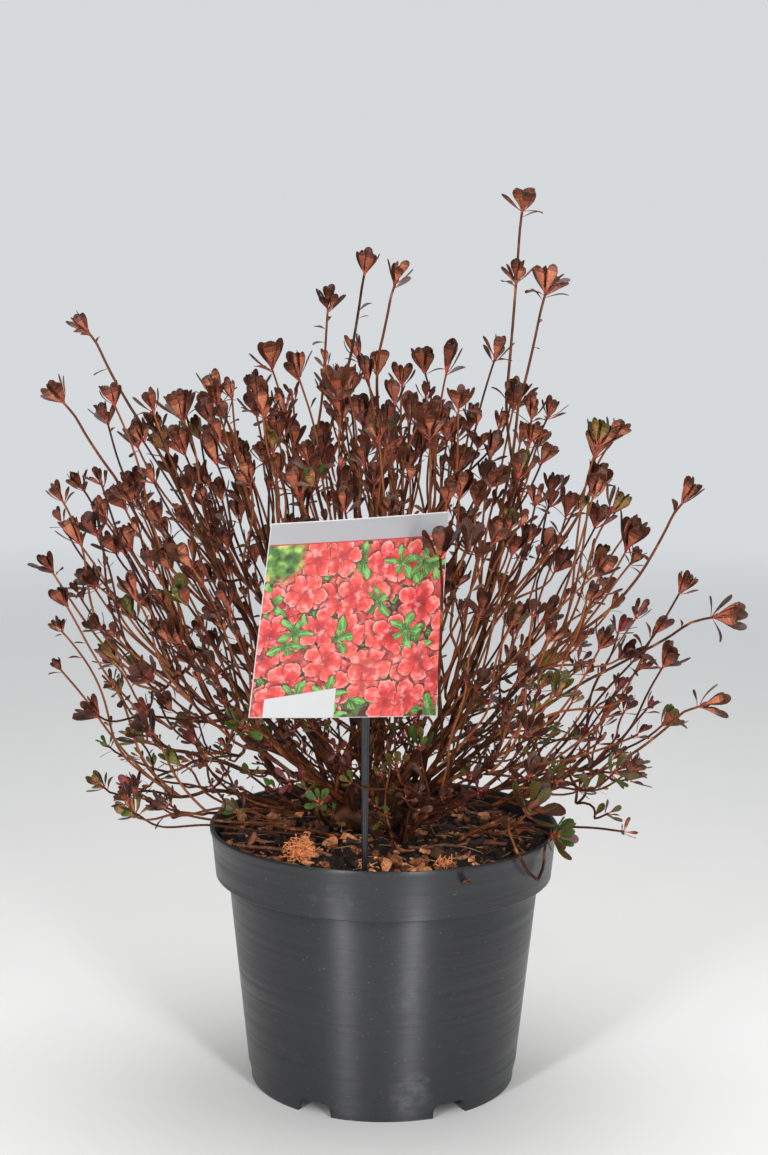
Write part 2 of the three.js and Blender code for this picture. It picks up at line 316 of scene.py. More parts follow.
CARD_HEADER = 0.893  # share of the card's height below its plain header
CARD_RULE = 0.006  # the line under the header
CARD_RULE_RED = (0.36, 0.02, 0.03)
CARD_EDGE = 0.004  # white edge, as a share of the card
CARD_EDGE_WHITE = (0.45, 0.45, 0.45)
CARD_BOX = (0.07, 0.44, 0.088)  # a bare panel: from and to across, and its height
CARD_BOX_SLOPE = 0.15  # how much its top rises across
CARD_BOX_GREY = (0.43, 0.435, 0.44)
CARD_TALL = 1.08  # its height, as a share of its width
BLURRED_LEAVES = (0.07, 0.84)  # the middle of a patch of leaves out of focus
PAPER = (0.272, 0.270, 0.284)
MOTIFS = {
    # kind: (its lobes, how pointed they are, how far out it reaches, how deep its lobes part)
    "blossom": (5, 0.7, 0.60, 0.24),
    "whorl": (5, 1.8, 0.56, 0.50),
}
MOTIF_WAVER = (0.32, 0.32, 0)  # how far places on the map shift
MOTIF_RUFFLE = 0.18  # how uneven the rims are
MOTIF_SHADOW = 0.85  # how dark it is round them
MOTIF_TURN = 6.28  # how far each may turn, in radians
PRINT_LAYERS = (
    # (kind, how many fit across the card, how far their pattern is shifted, the share that shows)
    ("whorl", 6.0, (0.31, 0.72), 0.9),
    ("blossom", 5.6, (0.12, 0.38), 0.90),
    ("blossom", 4.6, (0.64, 0.06), 0.66),
    ("whorl", 4.9, (0.47, 0.91), 0.30),
    ("blossom", 5.2, (0.88, 0.53), 0.42),
    ("whorl", 5.6, (0.15, 0.24), 0.12),
)


def motifs(finish, own, scale, place, lobes, sharp, edge, depth):
    """Flowers or leaf whorls strewn over a map.

    Gives how far inside one a place is, how far out from its middle as a share of its reach, how
    near it is to the middle of a lobe, and the motif's own random number.
    """
    stretch = (scale, CARD_TALL * scale, 1)
    moved = finish.add("Mapping", ("Vector", own), Location=(*place, 0), Scale=stretch)
    waver = finish.add("TexNoise", ("Vector", moved.outputs[0]), Scale=2.6, Detail=3.0)
    bent = finish.add("VectorMath", ("Vector", waver.outputs["Color"]), operation="MULTIPLY_ADD")
    bent.inputs[1].default_value = MOTIF_WAVER
    finish.tree.links.new(bent.inputs[2], moved.outputs[0])
    spread = {"voronoi_dimensions": "2D", "Scale": 1.0, "Randomness": 0.92}
    cells = finish.add("TexVoronoi", ("Vector", bent.outputs[0]), **spread)
    border = finish.add("TexVoronoi", ("Vector", bent.outputs[0]), feature="DISTANCE_TO_EDGE", **spread)
    ends = (0, bent.outputs[0]), (1, cells.outputs["Position"])
    inner = finish.add("VectorMath", *ends, operation="SUBTRACT")
    inner = finish.add("SeparateXYZ", ("Vector", inner.outputs[0]))
    number = finish.add("SeparateColor", ("Color", cells.outputs["Color"]))
    turn = finish.maths("ARCTAN2", inner.outputs["Y"], inner.outputs["X"])
    turn = finish.plus(turn, finish.times(number.outputs[0], MOTIF_TURN))
    lobe = finish.maths("ABSOLUTE", finish.maths("COSINE", finish.times(turn, lobes / 2)))
    wave = finish.times(finish.maths("POWER", lobe, sharp), depth)
    ruffle = finish.times(finish.noise(moved.outputs[0], 8, 3, 0.7), MOTIF_RUFFLE)
    reach = finish.plus(finish.plus(wave, ruffle), edge - depth - MOTIF_RUFFLE / 2)
    far = finish.maths("DIVIDE", cells.outputs["Distance"], finish.maths("MAXIMUM", reach, 0.02))
    inside = finish.maths("SUBTRACT", reach, cells.outputs["Distance"])
    inside = finish.maths("MINIMUM", inside, border.outputs["Distance"])
    return inside, far, lobe, number.outputs[1]


def add_motifs(finish, picture, shape, share, colour):
    """Motifs laid over a picture, each with a soft shadow round it. A share of them shows."""
    inside, _, _, number = shape
    shown = finish.ramp(number, (share, 1.0), (share + 0.01, 0.0))
    near = finish.ramp(finish.plus(inside, 0.12), (0.0, 0.0), (0.12, MOTIF_SHADOW))
    picture = finish.mix(finish.times(near, shown), picture, (0.02, 0.006, 0.006))
    mask = finish.ramp(inside, (0.0, 0.0), (0.02, 1.0))
    return finish.mix(finish.times(mask, shown), picture, colour)


def blossom_red(finish, own, shape):
    """A dark throat, bright petals that part by dark lines, folds across them and paler rims."""
    _, far, lobe, number = shape
    red = finish.ramp(
        far,
        (0.0, (0.14, 0.003, 0.008)),
        (0.22, (0.34, 0.010, 0.016)),
        (0.55, (0.54, 0.036, 0.036)),
        (0.86, (0.62, 0.075, 0.065)),
        (0.97, (0.76, 0.26, 0.22)),
    )
    red = finish.mix(finish.times(number, 0.55), red, (0.66, 0.17, 0.12))
    parting = finish.ramp(lobe, (0.0, 0.8), (0.34, 0.0))
    parting = finish.times(parting, finish.ramp(far, (0.25, 0.0), (0.6, 1.0)))
    red = finish.mix(parting, red, (0.17, 0.005, 0.012))
    folds = finish.noise(own, 22, 3, 0.6)
    red = finish.mix(finish.ramp(folds, (0.34, 0.6), (0.48, 0.0)), red, (0.30, 0.008, 0.014))
    return finish.mix(finish.ramp(folds, (0.52, 0.0), (0.68, 0.62)), red, (0.82, 0.36, 0.34))


def whorl_green(finish, own, shape):
    """Green leaves, darker at the whorl's middle, with a pale shine and pale ribs."""
    _, far, lobe, _ = shape
    green = finish.ramp(
        far,
        (0.0, (0.012, 0.035, 0.008)),
        (0.45, (0.035, 0.14, 0.020)),
        (0.9, (0.075, 0.25, 0.040)),
    )
    shine = finish.ramp(finish.noise(own, 26, 3), (0.50, 0.0), (0.64, 0.7))
    green = finish.mix(shine, green, (0.20, 0.42, 0.13))
    rib = finish.ramp(lobe, (0.975, 0.0), (1.0, 0.6))
    return finish.mix(rib, green, (0.24, 0.44, 0.14))


def print_of_blossom():
    """A plain pale header over crowded red blossom with a few green leaves, on the card's own map."""
    finish = Finish("card_print", PAPER, 0.3)
    own = finish.add("UVMap", uv_map="card").outputs[0]
    split = finish.add("SeparateXYZ", ("Vector", own))
    across, up = split.outputs["X"], split.outputs["Y"]
    picture = finish.ramp(
        finish.noise(own, 22, 4),
        (0.38, (0.012, 0.020, 0.012)),
        (0.50, (0.10, 0.012, 0.018)),
        (0.62, (0.05, 0.14, 0.03)),
    )
    colours = {"blossom": blossom_red, "whorl": whorl_green}
    for kind, scale, place, share in PRINT_LAYERS:
        shape = motifs(finish, own, scale, place, *MOTIFS[kind])
        picture = add_motifs(finish, picture, shape, share, colours[kind](finish, own, shape))
    far = finish.add("VectorMath", (0, own), operation="DISTANCE")
    far.inputs[1].default_value = (*BLURRED_LEAVES, 0)
    blurred = finish.ramp(
        finish.noise(own, 13, 2),
        (0.38, (0.02, 0.04, 0.012)),
        (0.52, (0.08, 0.20, 0.03)),
        (0.66, (0.40, 0.44, 0.12)),
    )
    near = finish.ramp(far.outputs["Value"], (0.11, 1.0), (0.16, 0.0))
    picture = finish.mix(near, picture, blurred)

    def between(value, low, high):
        above = finish.maths("GREATER_THAN", value, low)
        return finish.times(above, finish.maths("LESS_THAN", value, high))

    picture = finish.mix(finish.maths("GREATER_THAN", up, CARD_HEADER), picture, PAPER)
    rule = between(up, CARD_HEADER - CARD_RULE, CARD_HEADER)
    picture = finish.mix(rule, picture, CARD_RULE_RED)
    left, right, top = CARD_BOX
    level = finish.maths("SUBTRACT", up, finish.times(across, CARD_BOX_SLOPE))
    box = finish.times(between(across, left, right), finish.maths("LESS_THAN", level, top))
    picture = finish.mix(box, picture, CARD_BOX_GREY)
    inside = finish.times(*(between(way, CARD_EDGE, 1 - CARD_EDGE) for way in (across, up)))
    finish.drive("Base Color", finish.mix(inside, CARD_EDGE_WHITE, picture))
    return finish.material


# ---- modelling helpers --------------------------------------------------------------------


def added(primitive, **settings):
    """A new primitive by one of Blender's operators, and nothing else selected."""
    bpy.ops.object.select_all(action="DESELECT")
    primitive(**settings)
    return bpy.context.object


def activate(piece):
    """Selects a piece alone, for the operators that follow."""
    bpy.ops.object.select_all(action="DESELECT")
    piece.select_set(True)
    bpy.context.view_layer.objects.active = piece


def settle(piece, name, smooth=35):
    """Names a finished piece, puts its place into its mesh and shades it."""
    activate(piece)
    piece.name = name
    piece.data.name = name
    bpy.ops.object.transform_apply(location=True, rotation=True, scale=True)
    bpy.ops.object.shade_smooth_by_angle(angle=math.radians(smooth))
    return piece


def with_modifier(piece, kind, **settings):
    """Adds a modifier and applies it."""
    activate(piece)
    modifier = piece.modifiers.new(kind.lower(), kind)
    for name, value in settings.items():
        setattr(modifier, name, value)
    bpy.ops.object.modifier_apply(modifier=modifier.name)
    return piece


def turned(name, profile, sides):
    """A closed body turned about +Z: a ring extruded and resized along (radius, height) pairs."""
    (radius, height), *rest = profile
    start = {"vertices": sides, "radius": radius, "location": (0, 0, height)}
    piece = added(bpy.ops.mesh.primitive_circle_add, **start)
    bpy.ops.object.mode_set(mode="EDIT")
    bpy.ops.mesh.select_all(action="SELECT")
    for next_radius, next_height in rest:
        bpy.ops.mesh.extrude_region_move(
            TRANSFORM_OT_translate={"value": (0, 0, next_height - height)}
        )
        share = next_radius / radius
        bpy.ops.transform.resize(value=(share, share, 1), center_override=(0, 0, next_height))
        radius, height = next_radius, next_height
    bpy.ops.mesh.select_all(action="SELECT")
    bpy.ops.mesh.fill_holes(sides=0)
    bpy.ops.mesh.normals_make_consistent(inside=False)
    bpy.ops.object.mode_set(mode="OBJECT")
    return settle(piece, name)


def cut(piece, cutter):
    """Takes a cutter's shape out of a piece, and the cutter away."""
    with_modifier(piece, "BOOLEAN", operation="DIFFERENCE", solver="EXACT", object=cutter)
    bpy.data.objects.remove(cutter)


def joined(pieces):
    """The first piece, with the others joined to it."""
    bpy.ops.object.select_all(action="DESELECT")
    for piece in pieces:
        piece.select_set(True)
    bpy.context.view_layer.objects.active = pieces[0]
    bpy.ops.object.join()
    return pieces[0]


class Heap:
    """Many small shapes gathered into one mesh. Faces are quads, and a slot number goes with each."""

    def __init__(self):
        self.points, self.faces, self.slots, self.grain = [], [], [], []
        self.count = 0

    def add(self, points, faces, slots=0, grain=None):
        points = np.asarray(points, float).reshape(-1, 3)
        faces = np.asarray(faces, int).reshape(-1, 4)
        self.points.append(points)
        self.faces.append(faces + self.count)
        self.slots.append(np.broadcast_to(np.asarray(slots, int), len(faces)))
        self.grain.append(points if grain is None else np.asarray(grain, float).reshape(-1, 3))
        self.count += len(points)

    def made(self, name, materials, slot, replaced, smooth):
        """Makes the heap a piece of the plant. A quad whose last two corners agree is a triangle."""
        points = np.concatenate(self.points)
        faces = np.concatenate(self.faces)
        slots = np.concatenate(self.slots)
        sizes = np.where(faces[:, 2] == faces[:, 3], 3, 4)
        corners = faces[np.arange(4)[None, :] < sizes[:, None]]
        mesh = bpy.data.meshes.new(name)
        mesh.vertices.add(len(points))
        mesh.vertices.foreach_set("co", points.astype(np.float32).ravel())
        mesh.loops.add(len(corners))
        mesh.loops.foreach_set("vertex_index", corners.astype(np.int32))
        mesh.polygons.add(len(faces))
        mesh.polygons.foreach_set("loop_start", (np.cumsum(sizes) - sizes).astype(np.int32))
        mesh.polygons.foreach_set("material_index", slots.astype(np.int32))
        for material in materials:
            mesh.materials.append(material)
        grain = mesh.attributes.new("grain", "FLOAT_VECTOR", "POINT")
        grain.data.foreach_set("vector", np.concatenate(self.grain).astype(np.float32).ravel())
        mesh.update(calc_edges=True)
        mesh.validate()
        mesh.shade_smooth()
        mesh.set_sharp_from_angle(angle=math.radians(smooth))
        piece = bpy.data.objects.new(name, mesh)
        bpy.context.scene.collection.objects.link(piece)
        placed(piece, replaced)


def placed(piece, replaced):
    """A finished piece rides on the plant's one body, in place of nodes of the frame."""
    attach(piece, "root")
    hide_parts(*replaced)


def paint(piece, material):
    """Gives a piece one material."""
    piece.data.materials.clear()
    piece.data.materials.append(material)


def unit(vector):
    return vector / max(np.linalg.norm(vector), 1e-12)


def frames_along(points):
    """(ways, sides, other sides): a frame at each point of a path that doesn't twist much."""
    ways = np.gradient(points, axis=0)
    ways /= np.linalg.norm(ways, axis=1, keepdims=True)
    guide = np.eye(3)[np.argmin(np.abs(ways.mean(axis=0)))]
    sides = np.cross(ways, guide)
    sides /= np.linalg.norm(sides, axis=1, keepdims=True)
    return ways, sides, np.cross(ways, sides)


def add_tube(heap, points, radii, sides, slot=0, start_along=0.0, relief=1.0):
    """A closed tube along a path, with its own grain places for the bark."""
    points = np.asarray(points, float)
    radii = np.broadcast_to(np.asarray(radii, float), len(points))
    girth = np.broadcast_to(radii[:, None] * relief, (len(points), sides))
    _, across, other = frames_along(points)
    angles = np.arange(sides) * 2 * np.pi / sides
    cos, sin = np.cos(angles), np.sin(angles)
    round_it = cos[None, :, None] * across[:, None] + sin[None, :, None] * other[:, None]
    rings = points[:, None] + girth[..., None] * round_it
    steps = np.linalg.norm(np.diff(points, axis=0), axis=1)
    along = start_along + np.concatenate([[0], np.cumsum(steps)])
    grain = (radii[:, None] * cos, radii[:, None] * sin, along[:, None])
    grain = np.stack(np.broadcast_arrays(*grain), axis=-1)
    ends = np.stack([points[0], points[-1]])
    end_grain = np.array([[0, 0, along[0]], [0, 0, along[-1]]])
    ring = np.arange(sides)
    after = (ring + 1) % sides
    rows = np.arange(len(points) - 1)[:, None] * sides
    walls = np.stack([rows + ring, rows + after, rows + sides + after, rows + sides + ring], axis=-1)
    first, last = len(points) * sides, len(points) * sides + 1
    top = (len(points) - 1) * sides
    caps = [[after[i], ring[i], first, first] for i in ring]
    caps += [[top + ring[i], top + after[i], last, last] for i in ring]
    heap.add(
        np.concatenate([rings.reshape(-1, 3), ends]),
        np.concatenate([walls.reshape(-1, 4), caps]),
        slot,
        np.concatenate([grain.reshape(-1, 3), end_grain]),
    )


def bent_path(start, start_way, end, end_way, step=7 * MM, pull=0.36):
    """Points on a smooth bend between two places with given ways there."""
    span = np.linalg.norm(end - start)
    count = max(4, int(span / step) + 1)
    t = np.linspace(0, 1, count)[:, None]
    near, far = start + start_way * span * pull, end - end_way * span * pull
    return (1 - t) ** 3 * start + 3 * (1 - t) ** 2 * t * near + 3 * (1 - t) * t**2 * far + t**3 * end


# ---- pot ----------------------------------------------------------------------------------

POT_SIDES = 144
POT_WALL = 2 * MM
FOOT_RING = 13 * MM  # how high the body curves in over its feet
NOTCH_TURNS = range(-60, 300, 60)
NOTCH_WIDTH = 30 * MM
NOTCH_ROUND = 5 * MM
NOTCH_HEIGHT = 11.5 * MM
DRAIN_REACH = 82 * MM
DRAIN_RADIUS = 6 * MM
BAND_HEIGHT = 41 * MM

_, pot_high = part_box("pot")
RIM_RADIUS = pot_high.x
POT_HEIGHT = pot_high.z
SHOULDER = POT_HEIGHT - BAND_HEIGHT
BAND_FOOT = RIM_RADIUS - 5 * MM
SHOULDER_RADIUS = RIM_RADIUS - 15.5 * MM
BASE_RADIUS = RIM_RADIUS - 32 * MM


def box_at(turn, reach, size):
    """A plain box, turned about the pot's axis, for a cut."""
    angle = math.radians(turn)
    place = (reach * math.cos(angle), reach * math.sin(angle), 0)
    box = added(bpy.ops.mesh.primitive_cube_add, size=1, location=place, rotation=(0, 0, angle))
    box.scale = size
    return box


def make_pot():
    """The pot: one closed wall turned from a profile, with notches and drainage holes cut out."""
    wall, ring = POT_WALL, FOOT_RING
    inner_foot = BASE_RADIUS - 6 * MM
    pad = 58 * MM
    profile = [
        # the underside: a pad in the middle, a hollow round it and the ring of feet
        (1 * MM, 0),
        (pad, 0),
        (pad + 4 * MM, ring),
        (inner_foot - 2 * MM, ring),
        (inner_foot, 0),
        (BASE_RADIUS - 2.2 * MM, 0),
        # the outside up to the shoulder, and the rim band above it
        (BASE_RADIUS - 1.6 * MM, 1.2 * MM),
        (BASE_RADIUS - 0.9 * MM, 0.6 * ring),
        (BASE_RADIUS - 0.1 * MM, 0.95 * ring),
        (BASE_RADIUS + 0.9 * MM, 1.2 * ring),
        (SHOULDER_RADIUS - 0.4 * MM, SHOULDER - 8 * MM),
        (SHOULDER_RADIUS, SHOULDER - 1.5 * MM),
        (SHOULDER_RADIUS + 1.5 * MM, SHOULDER),
        (BAND_FOOT - 0.8 * MM, SHOULDER),
        (BAND_FOOT, SHOULDER + 0.8 * MM),
        (RIM_RADIUS - 1.6 * MM, POT_HEIGHT - 6 * MM),
        (RIM_RADIUS - 0.3 * MM, POT_HEIGHT - 4.2 * MM),
        (RIM_RADIUS, POT_HEIGHT - 1.2 * MM),
        (RIM_RADIUS - 0.8 * MM, POT_HEIGHT - 0.2 * MM),
        (RIM_RADIUS - 2.0 * MM, POT_HEIGHT),
        # the inside, down to the floor of the pot
        (RIM_RADIUS - 3.4 * MM, POT_HEIGHT - 0.8 * MM),
        (RIM_RADIUS - 4 * MM, POT_HEIGHT - 4 * MM),
        (BAND_FOOT - wall, SHOULDER + wall + 2 * MM),
        (BAND_FOOT - wall - 2 * MM, SHOULDER + wall),
        (SHOULDER_RADIUS, SHOULDER + wall),
        (SHOULDER_RADIUS - wall, SHOULDER - 2 * MM),
        (inner_foot - 2 * MM, ring + wall),
        (pad + 2 * MM, ring + wall),
        (pad - wall, wall),
        (1 * MM, wall),
    ]
    pot = turned("pot_shell", profile, POT_SIDES)
    cutters = []
    for turn in NOTCH_TURNS:
        size = (20 * MM, NOTCH_WIDTH, 2 * NOTCH_HEIGHT)
        notch = box_at(turn, BASE_RADIUS, size)
        bpy.ops.object.transform_apply(location=False, rotation=False, scale=True)
        cutters.append(with_modifier(notch, "BEVEL", width=NOTCH_ROUND, segments=3))
        angle = math.radians(turn)
        place = (DRAIN_REACH * math.cos(angle), DRAIN_REACH * math.sin(angle), ring + wall / 2)
        hole = {"vertices": 24, "radius": DRAIN_RADIUS, "depth": 4 * wall, "location": place}
        cutters.append(added(bpy.ops.mesh.primitive_cylinder_add, **hole))
    cut(pot, joined(cutters))
    with_modifier(pot, "BEVEL", width=0.5 * MM, segments=2, limit_method="ANGLE", angle_limit=0.9)
    settle(pot, "pot_shell", 40)
    paint(pot, pot_plastic())
    placed(pot, ["pot"])


# ---- compost and litter -------------------------------------------------------------------

compost_low, compost_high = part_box("compost")
COMPOST_RADIUS = RIM_RADIUS - 7.8 * MM
COMPOST_LEVEL = 201 * MM
COMPOST_TOP = compost_high.z
LITTER_REACH = 0.97  # share of the compost's radius
litter = np.random.default_rng(41)


def compost_height(x, y):
    """The compost's surface: a low mound with hummocks."""
    reach = np.hypot(x, y) / COMPOST_RADIUS
    mound = COMPOST_LEVEL + (COMPOST_TOP - COMPOST_LEVEL) * np.clip(1.35 - 1.35 * reach, 0, 1)
    hummocks = 1.6 * np.sin(61 * x + 1) * np.sin(53 * y + 2) + 1.1 * np.sin(117 * x - 83 * y)
    return mound + hummocks * MM - 0.5 * MM


def make_compost():
    """The bed of compost, which fills the pot and has a gritty surface."""
    rings = [(COMPOST_RADIUS * share, COMPOST_LEVEL) for share in np.linspace(0.985, 0.02, 40)]
    side = [
        (50 * MM, compost_low.z),
        (55 * MM, FOOT_RING + POT_WALL + 1 * MM),
        (BASE_RADIUS - 10 * MM, FOOT_RING + POT_WALL + 1 * MM),
        (SHOULDER_RADIUS - 4 * MM, SHOULDER - 4 * MM),
        (SHOULDER_RADIUS - 4 * MM, SHOULDER + POT_WALL + 1 * MM),
        (BAND_FOOT - POT_WALL - 2 * MM, SHOULDER + POT_WALL + 1 * MM),
        (COMPOST_RADIUS, COMPOST_LEVEL - 6 * MM),
    ]
    compost = turned("compost_bed", side + rings, 120)
    mesh = compost.data
    co = np.empty(len(mesh.vertices) * 3, np.float32)
    mesh.vertices.foreach_get("co", co)
    co = co.reshape(-1, 3)
    top = co[:, 2] > COMPOST_LEVEL - 1 * MM
    grit = litter.normal(0, 0.45 * MM, top.sum())
    co[top, 2] = compost_height(co[top, 0], co[top, 1]) + grit
    mesh.vertices.foreach_set("co", co.ravel())
    mesh.update()
    settle(compost, "compost_bed", 60)
    paint(compost, damp_compost())
    placed(compost, ["compost"])


def on_compost(count):
    """Random places spread evenly on the compost, all but its very middle."""
    reach = COMPOST_RADIUS * LITTER_REACH * np.sqrt(litter.uniform(0.04, 1, count))
    angle = litter.uniform(0, 2 * np.pi, count)
    x, y = reach * np.cos(angle), reach * np.sin(angle)
    return np.stack([x, y, compost_height(x, y)], axis=1)


def random_turns(count, tilt):
    """Rotation matrices: any heading, leaning any way by angles with a spread of the tilt."""
    headings = litter.uniform(0, 2 * np.pi, count)
    leans = np.radians(litter.normal(0, tilt, count))
    sides = litter.uniform(0, 2 * np.pi, count)
    turns = []
    for heading, lean, side in zip(headings, leans, sides):
        hinge = Vector((math.cos(side), math.sin(side), 0))
        turns.append(np.array(Matrix.Rotation(lean, 3, hinge) @ Matrix.Rotation(heading, 3, "Z")))
    return turns


def add_chips(heap, places, long, wide, thick, tilt, slots):
    """Split chips of bark: uneven seven-sided flakes."""
    count, sides = len(places), 7
    angle = np.arange(sides) * 2 * np.pi / sides
    uneven = litter.uniform(0.72, 1.15, (count, sides))
    length = litter.uniform(*long, count) / 2
    width = litter.uniform(*wide, count) / 2
    depth = litter.uniform(*thick, count) / 2
    x = length[:, None] * np.cos(angle) * uneven
    y = width[:, None] * np.sin(angle) * uneven
    bow = litter.uniform(-0.25, 0.25, (count, 1)) * x**2 / length[:, None]
    turns = random_turns(count, tilt)
    ring = np.arange(sides)
    after = (ring + 1) % sides
    walls = np.stack([ring, after, after + sides, ring + sides], axis=1)
    middle_low, middle_high = 2 * sides, 2 * sides + 1
    low = [[after[i], ring[i], middle_low, middle_low] for i in ring]
    high = [[ring[i] + sides, after[i] + sides, middle_high, middle_high] for i in ring]
    faces = np.concatenate([walls, low, high])
    for i in range(count):
        under = np.stack([x[i], y[i], bow[i] - depth[i]], axis=1)
        over = np.stack([0.86 * x[i], 0.86 * y[i], bow[i] + depth[i]], axis=1)
        middles = np.array([[0, 0, -1.1 * depth[i]], [0, 0, 1.2 * depth[i]]])
        body = np.concatenate([under, over, middles]) @ turns[i].T
        heap.add(body + places[i], faces, litter.choice(slots))


def add_fibres(heap, places, long, radius):
    """Slightly bent fibres that lie on the compost."""
    for place in places:
        heading = litter.uniform(0, 2 * np.pi)
        length = litter.uniform(*long)
        t = np.linspace(-0.5, 0.5, 6)
        bend = litter.normal(0, 0.25) * (t**2 - 0.1)
        along = np.array([math.cos(heading), math.sin(heading), litter.normal(0, 0.12)])
        aside = np.array([-math.sin(heading), math.cos(heading), 0])
        points = place + length * (t[:, None] * along + bend[:, None] * aside)
        add_tube(heap, points, litter.uniform(*radius) * np.array([0.5, 1, 1, 1, 0.8, 0.4]), 4)


def add_crumbs(heap, places, size):
    """Crumbs of compost: small uneven eight-sided lumps."""
    corners = np.array([(1, 0, 0), (0, 1, 0), (-1, 0, 0), (0, -1, 0), (0, 0, 1), (0, 0, -1)], float)
    belt = ((0, 1), (1, 2), (2, 3), (3, 0))
    faces = [[a, b, 4, 4] for a, b in belt] + [[b, a, 5, 5] for a, b in belt]
    turns = random_turns(len(places), 60)
    for place, turn in zip(places, turns):
        shape = corners * litter.uniform(0.6, 1.2, (6, 1)) * litter.uniform(*size)
        heap.add(shape @ turn.T + place, faces)


def add_tuft(heap, middle, reach, count):
    """A tuft of torn coir: short curled fibres round a middle."""
    t = np.linspace(0, 1, 7)[:, None]
    for _ in range(count):
        way = unit(litter.normal(size=3) * (1, 1, 0.5) + (0, 0, 0.25))
        aside = unit(np.cross(way, litter.normal(size=3)))
        curl = 0.4 * np.sin(litter.uniform(3, 7) * t) * aside
        points = middle + reach * litter.uniform(0.5, 1.1) * (t * way + curl)
        add_tube(heap, points, 0.4 * MM, 4)


# (the middle of each tuft in mm, its reach in mm, its fibres)
TUFTS = [((-65, -72, 207), 14, 150), ((-12, -96, 205), 9, 40), ((48, -92, 204), 9, 50)]
# (where each fallen twig starts and ends in mm)
FALLEN_TWIGS = [
    ((-118, -52), (-40, -78)),
    ((-100, 10), (-30, -30)),
    ((20, -60), (96, -40)),
    ((60, 60), (-40, 90)),
]
CRUMBS = 5200
DRY_FIBRES = 150
DEAD_LEAVES = 46
CHIP_MIX = (0, 0, 0, 1, 1, 2, 2, 3, 3, 3, 3)  # how often each wood comes up among the chips
CHIP_SIZES = (
    # (how many, their lengths, their widths, their thicknesses, all in mm, and how far they tilt)
    (40, (13, 25), (7, 12), (3, 6), 24),
    (280, (5, 15), (4, 8), (1.2, 3.2), 24),
    (720, (2, 6), (1.8, 3.5), (0.8, 2.0), 26),
)


def add_dead_leaves(heap, count):
    """Curled leaves that lie on the compost."""
    places = on_compost(count) + (0, 0, 3 * MM)
    heading = litter.uniform(0, 2 * np.pi, count)
    axes = np.stack([np.cos(heading), np.sin(heading), litter.normal(0, 0.25, count)], axis=1)
    axes /= np.linalg.norm(axes, axis=1, keepdims=True)
    lengths = litter.uniform(12, 24, count) * MM
    tips = litter.uniform(-40, 60, count)
    add_leaves(heap, places, axes, np.tile(UP, (count, 1)), lengths, -10, tips, 20, 35, 0.42)


def make_crumbs():
    """Loose crumbs all over the compost."""
    crumbs = Heap()
    add_crumbs(crumbs, on_compost(CRUMBS), (0.7 * MM, 2.6 * MM))
    crumbs.made("compost_crumbs", [damp_compost()], "compost", ["compost"], 30)


def make_chips():
    """Bark chips of four woods and three sizes."""
    woods = [
        mottled("chip_rust", (0.20, 0.062, 0.022), 0.7, 0.3, 420, 0.0012, 0.3, 1.4),
        mottled("chip_orange", (0.62, 0.25, 0.105), 0.75, 0.3, 420, 0.0012, 0.4, 1.3),
        mottled("chip_brown", (0.075, 0.030, 0.014), 0.7, 0.3, 420, 0.0012, 0.3, 1.5),
        mottled("chip_dark", (0.022, 0.011, 0.007), 0.7, 0.3, 420, 0.0012, 0.3, 1.6),
    ]
    chips = Heap()
    for count, *sizes, tilt in CHIP_SIZES:
        long, wide, thick = ((low * MM, high * MM) for low, high in sizes)
        places = on_compost(count)
        places[:, 2] += thick[0]
        add_chips(chips, places, long, wide, thick, tilt, CHIP_MIX)
    chips.made("bark_chips", woods, "compost", ["compost"], 30)


def make_fibres():
    """Dry fibres all over the compost, and a few tufts of torn coir."""
    fibres = Heap()
    places = on_compost(DRY_FIBRES) + (0, 0, 2 * MM)
    add_fibres(fibres, places, (8 * MM, 26 * MM), (0.25 * MM, 0.5 * MM))
    pale = mottled("dry_fibre", (0.26, 0.15, 0.075), 0.8, 0.3, 300, 0.0005)
    fibres.made("dry_fibres", [pale], "compost", ["compost"], 60)
    coir = Heap()
    for middle, reach, count in TUFTS:
        add_tuft(coir, np.array(middle) * MM, reach * MM, count)
    orange = mottled("torn_coir", (0.70, 0.26, 0.095), 0.7, 0.3, 300, 0.0005)
    coir.made("coir_tufts", [orange], "compost", ["compost"], 60)


def make_fallen():
    """Fallen twigs and dead leaves on the compost."""
    fallen = Heap()
    for start, end in FALLEN_TWIGS:
        ends = np.array([start, end]) * MM
        points = ends[0] + np.linspace(0, 1, 9)[:, None] * (ends[1] - ends[0])
        lift = COMPOST_LEVEL + 7 * MM + litter.normal(0, 0.8 * MM, 9)
        points = np.column_stack([points + litter.normal(0, 0.8 * MM, points.shape), lift])
        add_tube(fallen, points, 1.5 * MM, 7)
    red_brown = mottled("fallen_wood", (0.12, 0.045, 0.024), 0.6, 0.3, 300, 0.0006, 0.4, 1.5)
    fallen.made("fallen_twigs", [red_brown], "compost", ["compost"], 60)
    dead = Heap()
    add_dead_leaves(dead, DEAD_LEAVES)
    faces = [
        mottled("dead_leaf_upper", (0.10, 0.022, 0.014), 0.35, 0.5, 300, 0.0008, 0.5, 1.4),
        mottled("dead_leaf_lower", (0.24, 0.085, 0.038), 0.5, 0.4, 300, 0.0008, 0.5, 1.4),
    ]
    dead.made("dead_leaves", [*faces, faces[1], faces[1]], "compost", ["compost"], 50)


# ---- label --------------------------------------------------------------------------------

CARD_SIZE = (143 * MM, 154 * MM)
CARD_THICK = 0.9 * MM
CARD_BOW = 1.6 * MM
